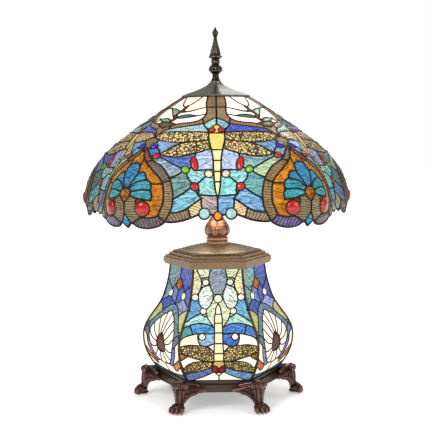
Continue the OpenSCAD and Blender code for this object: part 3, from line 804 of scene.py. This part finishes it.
# ==== MATERIALS ====
class Nodes:
    """Short names for building a node tree."""

    def __init__(self, name):
        self.mat = bpy.data.materials.new(name)
        self.mat.use_nodes = True
        self.tree = self.mat.node_tree
        self.tree.nodes.clear()
        self.out = self.tree.nodes.new("ShaderNodeOutputMaterial")
        self.bsdf = self.tree.nodes.new("ShaderNodeBsdfPrincipled")
        self.link(self.bsdf.outputs[0], self.out.inputs[0])

    def link(self, a, b):
        self.tree.links.new(a, b)

    def node(self, kind, **inputs):
        n = self.tree.nodes.new(kind)
        for key, value in inputs.items():
            if hasattr(n, key) and not key[0].isupper():
                setattr(n, key, value)
        return n

    def put(self, socket, value):
        if isinstance(value, bpy.types.NodeSocket):
            self.link(value, socket)
        else:
            socket.default_value = value

    def set(self, **values):
        for key, value in values.items():
            self.put(self.bsdf.inputs[key.replace("_", " ")], value)

    def math(self, op, a, b=0.0):
        n = self.node("ShaderNodeMath", operation=op)
        self.put(n.inputs[0], a)
        self.put(n.inputs[1], b)
        return n.outputs[0]

    def vec(self, op, a, b=(0, 0, 0)):
        n = self.node("ShaderNodeVectorMath", operation=op)
        self.put(n.inputs[0], a)
        if op == "SCALE":
            self.put(n.inputs["Scale"], b)
            return n.outputs[0]
        self.put(n.inputs[1], b)
        return n.outputs["Value"] if op in ("DISTANCE", "LENGTH") else n.outputs[0]

    def mix(self, factor, a, b, blend="MIX"):
        n = self.node("ShaderNodeMix", data_type="RGBA", blend_type=blend)
        self.put(n.inputs[0], factor)
        for socket, value in ((n.inputs[6], a), (n.inputs[7], b)):
            self.put(socket, (*value, 1) if isinstance(value, tuple) and len(value) == 3 else value)
        return n.outputs[2]

    def ramp(self, factor, lo, hi, out_lo=0.0, out_hi=1.0):
        n = self.node("ShaderNodeMapRange")
        n.clamp = True
        self.put(n.inputs[0], factor)
        for i, v in enumerate((lo, hi, out_lo, out_hi)):
            self.put(n.inputs[i + 1], v)
        return n.outputs[0]

    def noise(self, vector, scale, detail=2.0, rough=0.5, twist=0.0):
        n = self.node("ShaderNodeTexNoise")
        self.put(n.inputs["Vector"], vector)
        for key, v in (("Scale", scale), ("Detail", detail), ("Roughness", rough), ("Distortion", twist)):
            n.inputs[key].default_value = v
        return n.outputs[0]

    def stretch(self, vector, scale):
        n = self.node("ShaderNodeMapping")
        self.put(n.inputs[0], vector)
        n.inputs["Scale"].default_value = scale
        return n.outputs[0]

    def here(self):
        return self.node("ShaderNodeTexCoord").outputs["Object"]

    def attribute(self, name, output):
        return self.node("ShaderNodeAttribute", attribute_name=name).outputs[output]

    def bump(self, height, strength, distance=0.001):
        n = self.node("ShaderNodeBump")
        n.inputs["Strength"].default_value = strength
        n.inputs["Distance"].default_value = distance
        self.put(n.inputs["Height"], height)
        self.link(n.outputs[0], self.bsdf.inputs["Normal"])


def tinted(n, colour, amount, over):
    """A colour multiplied by another one, by this amount."""
    return n.mix(amount, colour, n.mix(1.0, colour, over, "MULTIPLY"))


def streaks(n, grain, streak):
    """Two colours that run through each other, stained warm and cool, with dark and light threads."""
    def laid(colour, amount, over):
        return tinted(n, colour, n.math("MULTIPLY", amount, streak), over)

    wisps = n.noise(n.stretch(grain, (70, 300, 1)), 1.0, 4.0, 0.62, 1.4)
    wisps = n.math("MULTIPLY", n.ramp(wisps, 0.38, 0.64), streak)
    colour = n.mix(wisps, n.attribute("tint", "Color"), n.attribute("veil", "Color"))
    warm = n.noise(n.stretch(grain, (95, 150, 1)), 1.0, 3.0, 0.6, 0.6)
    colour = laid(colour, n.ramp(warm, 0.50, 0.68, 0.0, 0.8), (1.2, 0.88, 0.55))
    cool = n.noise(n.stretch(grain, (60, 110, 1)), 1.3, 2.0)
    colour = laid(colour, n.ramp(cool, 0.52, 0.66, 0.0, 0.7), (0.78, 0.98, 1.25))
    threads = n.noise(n.stretch(grain, (150, 620, 1)), 1.0, 3.0, 0.66, 0.9)
    colour = laid(colour, n.ramp(threads, 0.49, 0.60), (0.24, 0.27, 0.31))
    pale = n.mix(1.0, n.mix(1.0, colour, (1.7, 1.6, 1.35), "MULTIPLY"), (0.04, 0.04, 0.03), "ADD")
    return n.mix(n.math("MULTIPLY", n.ramp(threads, 0.46, 0.36, 0.0, 0.6), streak), colour, pale)


def pressed_ribs(n, grain):
    """Where the grooves are between ribs pressed across a band."""
    parts = n.node("ShaderNodeSeparateXYZ")
    n.link(grain, parts.inputs[0])
    sway = n.math("MULTIPLY", n.noise(n.stretch(grain, (120, 120, 1)), 1.0, 2.0), 7.0)
    rib = n.math("SINE", n.math("ADD", n.math("MULTIPLY", parts.outputs[0], 1750.0), sway))
    return n.math("MULTIPLY", n.ramp(rib, 0.0, 0.8), n.attribute("ridge", "Fac"))


def metal_lace(n, grain, cell):
    """Where the wires are of the pierced metal that is laid over the wings."""
    cells = n.node("ShaderNodeTexVoronoi")
    cells.feature = "DISTANCE_TO_EDGE"
    n.put(cells.inputs["Vector"], grain)
    cells.inputs["Scale"].default_value = cell
    speckle = n.attribute("speckle", "Fac")
    wire = n.math("LESS_THAN", cells.outputs["Distance"], n.math("MULTIPLY", speckle, 0.2))
    return n.math("MULTIPLY", wire, n.ramp(speckle, 0.0, 0.6, 0.0, 0.95))


def bulb_light(n, bulbs, reach, levels):
    """Light that comes through: levels[0] at reach[0] mm from the nearest bulb, levels[1] at reach[1]."""
    here = n.here()
    near = None
    for spot in bulbs:
        away = n.vec("DISTANCE", here, tuple(c * MM for c in spot))
        light = n.ramp(away, reach[0] * MM, reach[1] * MM, *levels)
        near = light if near is None else n.math("MAXIMUM", near, light)
    return n.math("MULTIPLY", near, n.attribute("glow", "Fac"))


def lit_glass(name, bulbs, reach, levels, warm, cell, jewel=False):
    """Streaky opalescent glass lit from behind: brightest where it is nearest a bulb."""
    n = Nodes(name)
    grain = n.attribute("grain", "Vector")
    colour = streaks(n, grain, n.attribute("streak", "Fac"))
    groove = pressed_ribs(n, grain)
    # painted shade: the glass is darker in the grooves between the ribs
    colour = tinted(n, colour, groove, (0.30, 0.27, 0.26))
    lace = metal_lace(n, grain, cell)
    colour = n.mix(lace, colour, (0.030, 0.020, 0.009))
    # the bulbs' warm light colour, painted into the glass's own colour
    colour = n.mix(1.0, colour, warm, "MULTIPLY")
    light = bulb_light(n, bulbs, reach, levels)
    if jewel:                                   # thick glass, with painted light: its glow is brightest head-on and dims toward its edge
        facing = n.node("ShaderNodeLayerWeight").outputs["Facing"]
        light = n.math("MULTIPLY", light, n.ramp(facing, 0.05, 0.75, 1.15, 0.25))
    n.set(Base_Color=n.mix(1.0, colour, (0.09, 0.09, 0.09), "MULTIPLY"), Roughness=0.2 if jewel else 0.3,
          Emission_Color=n.mix(1.0, colour, light, "MULTIPLY"), Emission_Strength=1.0)
    n.set(Coat_Weight=0.5 if jewel else 0.06, Coat_Roughness=0.08,
          Specular_IOR_Level=0.4 if jewel else 0.16)
    ripple = n.noise(n.stretch(grain, (110, 260, 1)), 1.0, 3.0)
    raised = n.math("ADD", ripple, n.math("MULTIPLY", lace, 0.6))
    n.bump(n.math("SUBTRACT", raised, n.math("MULTIPLY", groove, 0.4)), 0.25 if jewel else 0.4, 0.0008)
    return n.mat


def metal(name, dark, light, rough, edge_wear_and_sheen, scale, metallic, bump, shine=0.5):
    """Cast or plated metal: mottled colour, dull hollows, and brighter edges and ridges, partly real wear
    and partly a painted highlight.
    """
    n = Nodes(name)
    here = n.here()
    mottle = n.noise(here, scale, 5.0, 0.6, 0.5)
    fine = n.noise(here, scale * 9, 3.0, 0.6)
    colour = n.mix(n.ramp(mottle, 0.35, 0.68), dark, light)
    if edge_wear_and_sheen:
        edge = n.node("ShaderNodeNewGeometry").outputs["Pointiness"]
        # edges and ridges made lighter: real rubbed wear together with a painted highlight
        colour = n.mix(n.ramp(edge, 0.505, 0.56), colour, edge_wear_and_sheen)
    n.set(Base_Color=colour, Metallic=metallic, Roughness=n.ramp(fine, 0.3, 0.7, rough * 0.8, rough * 1.25),
          Specular_IOR_Level=shine)
    n.bump(n.math("ADD", fine, n.math("MULTIPLY", mottle, 2.0)), bump, 0.0004)
    return n.mat


def lamp_light(name, colour, strength):
    """Frosted bulb glass that glows warm, with a faint mottle."""
    n = Nodes(name)
    grain = n.noise(n.here(), 260, 2.0)
    warm = n.mix(n.ramp(grain, 0.3, 0.7), colour, tuple(c * 0.93 for c in colour))
    n.set(Base_Color=(0.9, 0.88, 0.82, 1), Emission_Color=warm, Emission_Strength=strength,
          Roughness=n.ramp(grain, 0.3, 0.7, 0.3, 0.42))
    return n.mat


SHADE_BULBS = [(0, -117, 366), (0, 117, 366)]
BASE_BULB = [(0, 0, 122)]
SHADE_REACH, SHADE_LACE, BASE_LACE = (75, 235), 225, 290
CANDLE = (1.06, 1.0, 0.92)
SHADE_GLASS = lit_glass("leaded_shade_glass", SHADE_BULBS, SHADE_REACH, (1.22, 0.33), (1.13, 1.0, 0.88),
                        SHADE_LACE)
BASE_GLASS = lit_glass("leaded_base_glass", BASE_BULB, (60, 170), (1.12, 0.80), CANDLE, BASE_LACE)
JEWEL_GLASS = lit_glass("pressed_jewel_glass", SHADE_BULBS, SHADE_REACH, (1.15, 0.5), CANDLE, SHADE_LACE,
                        jewel=True)
# Metals: dark and light of their mottle, roughness, colour of worn edges and painted sheen on ridges,
# grain, how metallic, relief.
LEAD = metal("antiqued_lead", (0.008, 0.006, 0.004), (0.022, 0.017, 0.009), 0.45, None, 120, 0.1, 0.3, 0.2)
STRIP = metal("aged_corner_strip", (0.026, 0.020, 0.008), (0.075, 0.058, 0.025), 0.38, None, 90,
              0.4, 0.3, 0.3)
BRONZE = metal("cast_bronze", (0.016, 0.0065, 0.006), (0.066, 0.021, 0.016), 0.17, (0.34, 0.17, 0.13), 45,
               0.6, 0.15)
RING_BROWN = metal("ring_bronze", (0.010, 0.007, 0.0055), (0.020, 0.013, 0.011), 0.34,
                   (0.06, 0.038, 0.028), 40, 0.3, 0.15, 0.35)
COPPER = metal("copper_plate", (0.200, 0.078, 0.038), (0.270, 0.115, 0.060), 0.34, (0.42, 0.23, 0.14), 30,
               0.8, 0.04)
COVER_METAL = metal("cover_bronze", (0.105, 0.066, 0.034), (0.165, 0.106, 0.058), 0.36,
                    (0.26, 0.17, 0.10), 24, 0.75, 0.04)
CAP_METAL = metal("cap_bronze", (0.040, 0.037, 0.033), (0.090, 0.084, 0.076), 0.40, (0.15, 0.14, 0.125), 90,
                  0.5, 0.2)
FINIAL_METAL = metal("finial_bronze", (0.012, 0.009, 0.005), (0.046, 0.038, 0.021), 0.22,
                     (0.24, 0.21, 0.13), 60, 0.8, 0.1)
STEEL = metal("inner_steel", (0.08, 0.08, 0.085), (0.16, 0.16, 0.165), 0.4, None, 50, 0.9, 0.15)
BRASS = metal("inner_brass", (0.36, 0.24, 0.09), (0.55, 0.38, 0.15), 0.32, None, 50, 0.95, 0.12)
PLASTIC = metal("black_insulator", (0.012, 0.011, 0.010), (0.03, 0.028, 0.026), 0.42, None, 80, 0.0, 0.15)
BULB_LIGHT = lamp_light("lit_bulb", (1.0, 0.86, 0.62), 5.0)


# ==== THE SHADE ====
def build_glass(flat, pieces, wall, builder_of):
    """Makes each area into a glass solid in the builder that its middle belongs to."""
    for tris, kind, rgb, middle in pieces:
        out = builder_of(middle)
        if out is not None:
            glass_solid(wall, flat, tris, glass_style(kind, rgb), out)


def came(line, wall, out, wide, deep):
    """One strip of lead along a flat line, standing a little proud of the glass on both sides."""
    pts, closed = line
    if len(pts) < 2:
        return
    p, n, _, _ = wall.frame_at(pts)
    verts, faces = tube(p + n * LEAD_MIDDLE, 8, n, wide, deep, closed)
    out.add(verts, faces, True)


def solder(points, wall, out, size):
    """Flattened drops of solder where strips meet."""
    half_deep = 2.55
    rise = [-math.pi / 2 + math.pi * row / 5 for row in range(1, 5)]
    rings = [(size * math.cos(a), size * math.cos(a), LEAD_MIDDLE + half_deep * math.sin(a)) for a in rise]
    low, top = [(0, 0, LEAD_MIDDLE - half_deep)], [(0, 0, LEAD_MIDDLE + half_deep)]
    p, n, px, _ = wall.frame_at(points)
    for k in range(len(p)):
        verts, faces = dome(p[k], unit(px[k]), unit(np.cross(n[k], px[k])), n[k], low + rings + top, 8)
        out.add(verts, faces, True)


def sector_angles():
    """Degrees from the front to the middle of each of the frame's five shade sectors."""
    angles = []
    for k in range(5):
        lo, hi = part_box(f"shade_sector_{k}")
        middle = (lo + hi) / 2
        angles.append(math.degrees(math.atan2(middle.x, -middle.y)))
    return angles


SECTOR_AT = sector_angles()


def sector_of(degrees):
    """Which of the shade's sectors an angle from the front falls in."""
    return min(range(5), key=lambda k: abs((degrees - SECTOR_AT[k] + 180) % 360 - 180))


def sector_builder(kit):
    """Picks the builder of the sector that a pane's middle is in; a pane past the back is there already."""
    def pick(middle):
        degrees = middle[0] / SHADE_SCALE
        return kit[sector_of(degrees)] if -180.5 <= degrees < 179.5 else None
    return pick


def shade_leading(lines, leads):
    """Strips and solder, each line once round the lamp."""
    half_round = 180 * SHADE_SCALE
    hair = 1e-3
    for pts, closed in lines:
        middle = pts.mean(0)[0]
        if -half_round - hair <= middle < half_round - hair:
            out = leads[sector_of(middle / SHADE_SCALE)]
            came((pts, closed), SHADE, out, 1.6 if closed else 1.85, 2.2)
            if not closed:
                solder(pts[[0, -1]], SHADE, out, 1.9)


def shade_stones(jewels):
    """The round jewels, set a little smaller than the lead rings that hold them."""
    for a, z, rx, rz, rgb in shade_jewels():
        if -180 <= a < 180:
            x, y = shade_flat((a, z))
            tint = np.array(linear(rgb))
            style = jewel_style(tint, tint * 0.45, rng.uniform(0.9, 1.1))
            cabochon(SHADE, x, y, rx - 0.4, rz - 0.4, min(rx, rz) * 0.42, jewels[sector_of(a)], style)


def make_shade():
    """Glass, leading and jewels of the five sectors."""
    glass, leads, jewels = ([Builder() for _ in range(5)] for _ in range(3))
    lines = snap_ends(shade_lines(), 6.0)
    flat, pieces = fill_wall(lines, shade_seeds(), 6.0, 2.2)
    build_glass(flat, pieces, SHADE, sector_builder(glass))
    shade_leading(lines, leads)
    shade_stones(jewels)
    for k in range(5):
        glass[k].object(f"shade_glass_{k}", "shade", SHADE_GLASS, [f"shade_sector_{k}"], "shade_glass")
        leads[k].object(f"shade_leading_{k}", "shade", LEAD, ["shade_ribs"], "lead")
        jewels[k].object(f"shade_round_jewels_{k}", "shade", JEWEL_GLASS, [f"shade_jewels_{k}"],
                         "jewel_glass")


make_shade()


# ==== THE BASE ====
def base_panel(k):
    """One side of the base: dragonflies and flowers take turns."""
    wall = Wall(base_point(60 * k))
    dragonfly, bloom = (FLY, FLY_JEWELS, FLY_PANES), (BLOOM, BLOOM_JEWELS, BLOOM_PANES)
    halves, stones, panes = dragonfly if k % 2 == 0 else bloom
    lines = snap_ends(base_lines(wall, halves, stones), 4.0)
    seeds = [(base_flat((side * w, z)), kind, rgb[-1] if side > 0 else rgb[0])
             for side in (1, -1) for w, z, kind, *rgb in panes]
    flat, pieces = fill_wall(lines, seeds, 5.0, 1.6)
    panel, strips = Builder(), Builder()
    build_glass(flat, pieces, wall, lambda middle: panel)
    for line in lines:
        came(line, wall, strips, 1.4, 2.3)
        if not line[1]:
            solder(line[0][[0, -1]], wall, strips, 1.5)
    for w, z, r in mirrored(stones):
        x, y = base_flat((w, z))
        style = jewel_style(np.array(linear(PALE)), np.array(linear(PINK)), 1.2)
        cabochon(wall, x, y, r - 0.35, r - 0.35, r * 0.35, panel, style)
    panel.object(f"base_glass_{k}", "lamp", BASE_GLASS, [f"base_panel_{k}"], "base_glass")
    strips.object(f"base_leading_{k}", "lamp", LEAD, (), "lead")


def corner_strips():
    """A bar up each corner of the base."""
    strips = Builder()
    z = np.linspace(BASE_LOW - 1, BASE_TOP + 1, 70)
    r = corner_radius(z) - CORNER_INSET
    for k in range(6):
        a = math.radians(60 * k)
        path = np.stack([r * math.cos(a), r * math.sin(a), z], 1)
        run = unit(np.gradient(path, axis=0))
        side = np.array([-math.sin(a), math.cos(a), 0])
        verts, faces = tube(path, 10, np.cross(side, run), 1.7, 2.2)
        strips.add(verts, faces, True)
    strips.object("base_corner_strips", "lamp", STRIP, ["base_cames"], "lead")


for k in range(6):
    base_panel(k)
corner_strips()


# ==== THE FEET ====
def ball(bm, at, size, turn=0.0):
    """An ovoid: half sizes in mm, turned about Z."""
    m = Matrix.Translation(at) @ Matrix.Rotation(math.radians(turn), 4, "Z") @ Matrix.Diagonal((*size, 1))
    bmesh.ops.create_icosphere(bm, subdivisions=3, radius=1, matrix=m)


def limb(bm, path, step=1.2):
    """A rounded limb: (x, y, z, radius) points joined by a smooth chain of balls."""
    for x, y, z, r in smooth_curve(path, step):
        ball(bm, (x, y, z), (r, r, r))


def paw_foot():
    """One cast foot for the corner on +X: scrolled knee, leaf wings along the ring, fluted leg and toes."""
    bm = bmesh.new()
    limb(bm, [(104, 0, 34, 9), (110, 0, 36, 9.5), (114, 0, 32, 8.5), (115.5, 0, 25, 7), (116.5, 0, 18, 6),
              (119, 0, 12, 6.2), (122, 0, 8.6, 7)])
    for y in np.linspace(-9.5, 9.5, 7):                                  # the rolled scroll on the knee
        ball(bm, (117.0 - abs(y) * 0.12, y, 39.6), (7.2 - abs(y) * 0.18, 2.6, 6.6 - abs(y) * 0.16))
    for side in (-1, 1):
        ball(bm, (116.2, side * 11.2, 39.4), (4.4, 2.2, 4.4))
        ball(bm, (116.2, side * 13, 39.4), (2.2, 1.6, 2.2))
        # leaf wing lying along the ring, in three lobes that narrow toward its tip
        limb(bm, [(106, side * 5, 34, 7.5), (102, side * 13, 32.5, 6), (97.5, side * 21, 31, 4.4),
                  (93, side * 29, 30, 2.4)])
        limb(bm, [(110, side * 6, 30, 5.4), (106, side * 12, 26.5, 3.8), (101, side * 18, 26.2, 2.4)])
        limb(bm, [(108, side * 5, 41, 3.8), (102, side * 12, 39.6, 3.2), (96.5, side * 20, 37.5, 2.2)])
        # web that sweeps from the wing down to the ankle
        limb(bm, [(101, side * 20, 28.5, 3.0), (107, side * 12.5, 26.5, 4.2),
                  (112.5, side * 7.4, 21.5, 4.2), (116.6, side * 4.6, 15, 3.6)])
        # flutes down the leg
        limb(bm, [(120.5, side * 3.4, 33, 2), (121.4, side * 3, 26, 1.8), (121.6, side * 2.6, 18, 1.6),
                  (125, side * 2.6, 12.5, 1.6)])
        limb(bm, [(117.5, side * 7.2, 32, 1.9), (117.6, side * 6, 24, 1.7), (117.4, side * 5.2, 17, 1.5),
                  (120, side * 6, 11, 1.6)])
    ball(bm, (122.6, 0, 7.8), (9.6, 11.2, 7.4))                            # the paw, its toes and claws
    for y, x, spread in ((-8.9, 126.0, -18), (-3.1, 129.0, -6), (3.1, 129.0, 6), (8.9, 126.0, 18)):
        ball(bm, (x, y, 5.3), (5.6, 2.75, 5.1), spread)
        ball(bm, (x + 4.0, y * 1.07, 2.6), (2.0, 1.5, 2.5), spread)
    ball(bm, (119.5, 0, 2.4), (8, 9.2, 2.4))
    return cast(bm)


def cast(bm):
    """The balls melted into one smooth skin that stands flat on the floor, as a mesh in metres."""
    me = bpy.data.meshes.new("paw_foot")
    bm.to_mesh(me)
    bm.free()
    ob = bpy.data.objects.new("paw_foot", me)
    bpy.context.scene.collection.objects.link(ob)
    melt = ob.modifiers.new("melt", "REMESH")
    melt.mode, melt.voxel_size = "VOXEL", 0.8
    soft = ob.modifiers.new("soft", "SMOOTH")
    soft.factor, soft.iterations = 0.5, 3
    made = bpy.data.meshes.new_from_object(ob.evaluated_get(bpy.context.evaluated_depsgraph_get()))
    bpy.data.objects.remove(ob)
    co = np.empty(len(made.vertices) * 3)
    made.vertices.foreach_get("co", co)
    co = co.reshape(-1, 3)
    co[:, 2] = np.maximum(co[:, 2], 0)
    made.vertices.foreach_set("co", (co * MM).ravel())
    made.polygons.foreach_set("use_smooth", [True] * len(made.polygons))
    made.update()
    return made


FOOT = paw_foot()
for k in range(6):
    mesh = FOOT.copy()
    mesh.transform(Matrix.Rotation(math.radians(60 * k), 4, "Z"))
    place(f"paw_foot_{k}", mesh, "lamp", BRONZE, [f"foot_{k}"])


# ==== THE FINIAL ====
BORE, FINIAL_LOW = 3.05, 490.6
STUD_HOLE = [(0, 531), (BORE, 531), (BORE, FINIAL_LOW)]                # open at the bottom
FINIAL = [(8, FINIAL_LOW), (7.4, 492.2), (6, 495), (5, 498.4), (5, 501.9), (6.2, 503.5), (9.6, 506.2),
          (10.4, 508.8), (10.3, 511.4), (8.8, 514.4), (6.4, 516.6), (5.8, 518.6), (6.9, 520.2), (7, 522),
          (6, 523.8), (7, 525.8), (10.2, 527.6), (10.4, 528.8), (10.1, 530), (8.7, 531.8), (7.5, 536.5),
          (6.3, 541), (5.1, 545.2), (3.9, 550), (3, 554), (2.6, 557.4), (2.9, 560), (4, 562.4), (4.7, 565),
          (4.4, 567.2), (3, 569.2), (1.6, 571.6), (0, 575.6)]              # radius, height


def finial_flutes(angle, radius, height):
    """Grooves down the cone and petals round the lower bead."""
    if radius <= BORE + 0.01:
        return 1.0
    cone = min(max((height - 531) / 3, 0), 1) * min(max((560 - height) / 6, 0), 1)
    bead = max(0, 1 - abs(height - 510) / 7)
    return 1 - 0.055 * cone * (1 - math.cos(10 * angle)) - 0.03 * bead * (1 - math.cos(12 * angle))


def make_finial():
    """The turned ornament that screws onto the stud."""
    turned = Builder()
    profile = STUD_HOLE + [tuple(p) for p in smooth_curve(FINIAL, 0.7)]
    turned.add(*lathe(profile, 120, finial_flutes))
    turned.object("finial_turned", "finial", FINIAL_METAL, ["finial"], "dark_bronze")


make_finial()


# ==== CARRIED-OVER PARTS ====
FINISH = {
    "base_rim": LEAD, "base_ring": RING_BROWN, "base_cover": COVER_METAL, "neck": COPPER,
    "stem_tube": COPPER, "vase_cap": CAP_METAL, "finial_washer": FINIAL_METAL,
}
INSIDE = {
    STEEL: ("base_plate", "lamp_pipe", "base_socket_stem", "shade_spider"),
    BRASS: ("foot_screws", "pipe_nuts", "cluster_body", "seat_disc", "finial_stud"),
    PLASTIC: ("cord_bushing", "socket_front", "socket_back", "base_socket"),
}
for mat, names in INSIDE.items():
    FINISH.update({name: mat for name in names})
for bulb in ("bulb_front", "bulb_back", "base_bulb"):
    FINISH[f"{bulb}_cap"] = BRASS
    FINISH[f"{bulb}_glass"] = BULB_LIGHT
for name, mat in FINISH.items():
    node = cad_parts[name]
    node.data.materials.clear()
    node.data.materials.append(mat)


# ==== THE ROOM ====
def pale_floor():
    """A floor that fades into the backdrop away from the lamp."""
    bpy.ops.mesh.primitive_plane_add(size=12, location=(0, 2, -0.0005))
    floor = bpy.context.object
    floor.name = "floor"
    n = Nodes("pale_floor")
    away = n.vec("LENGTH", n.vec("ADD", n.here(), (0, 2, 0)))
    n.set(Base_Color=(0.93, 0.93, 0.93, 1), Roughness=0.7, Emission_Color=(1, 1, 1, 1),
          Emission_Strength=n.ramp(away, 0.45, 1.6, 0.36, 0.85))
    floor.data.materials.append(n.mat)


def backdrop():
    """A white backdrop, with softer light on the lamp itself."""
    soft, seen_level = 0.42, 1.0
    world = bpy.data.worlds.new("studio")
    bpy.context.scene.world = world
    world.use_nodes = True
    tree = world.node_tree
    back = tree.nodes["Background"]
    back.inputs[0].default_value = (1, 1, 1, 1)
    seen = tree.nodes.new("ShaderNodeLightPath").outputs["Is Camera Ray"]
    level = tree.nodes.new("ShaderNodeMapRange")
    tree.links.new(seen, level.inputs[0])
    level.inputs[3].default_value, level.inputs[4].default_value = soft, seen_level
    tree.links.new(level.outputs[0], back.inputs[1])


def link_turned(name, data, spot, target, lean=0.0):
    """A light or camera at a spot, turned to a target and leaned by this many degrees."""
    ob = bpy.data.objects.new(name, data)
    bpy.context.scene.collection.objects.link(ob)
    ob.location = spot
    ob.rotation_mode = "QUATERNION"
    aim = (Vector(target) - Vector(spot)).to_track_quat("-Z", "Y")
    ob.rotation_quaternion = aim @ Matrix.Rotation(math.radians(lean), 3, "Z").to_quaternion()
    return ob


# Soft lights: name, place, size, power, what they point at.
LIGHTS = [
    ("key", (-1.3, -1.5, 1.7), 1.0, 26, (0, 0, 0.3)), ("fill", (1.6, -1.2, 1.0), 1.2, 12, (0, 0, 0.25)),
    ("back", (0.6, 1.6, 1.6), 1.0, 12, (0, 0, 0.3)), ("under_shade", (0, 0, 0.35), 0.16, 0.75, (0, 0, 0)),
]


def studio_lights():
    """The lights round the lamp, and one under the shade for what its bulbs throw down."""
    for name, spot, size, power, target in LIGHTS:
        lamp = bpy.data.lights.new(name, "AREA")
        lamp.size, lamp.energy = size, power
        link_turned(name, lamp, spot, target).visible_camera = False


def photo_camera():
    """The photo's view: nearly square on, a hair from the left, with the picture leaning slightly."""
    far, around, aside = 1.4, math.radians(0.244), -0.0031
    cam = bpy.data.cameras.new("camera")
    cam.lens, cam.sensor_width, cam.clip_end = 75.1, 36, 50
    spot = (-far * math.sin(around) + aside, -far * math.cos(around), 0.4122)
    bpy.context.scene.camera = link_turned("camera", cam, spot, (aside, 0, 0.284), lean=-0.57)


pale_floor()
backdrop()
studio_lights()
photo_camera()
bpy.context.scene.view_settings.view_transform = "Standard"
bpy.context.scene.view_settings.look = "None"
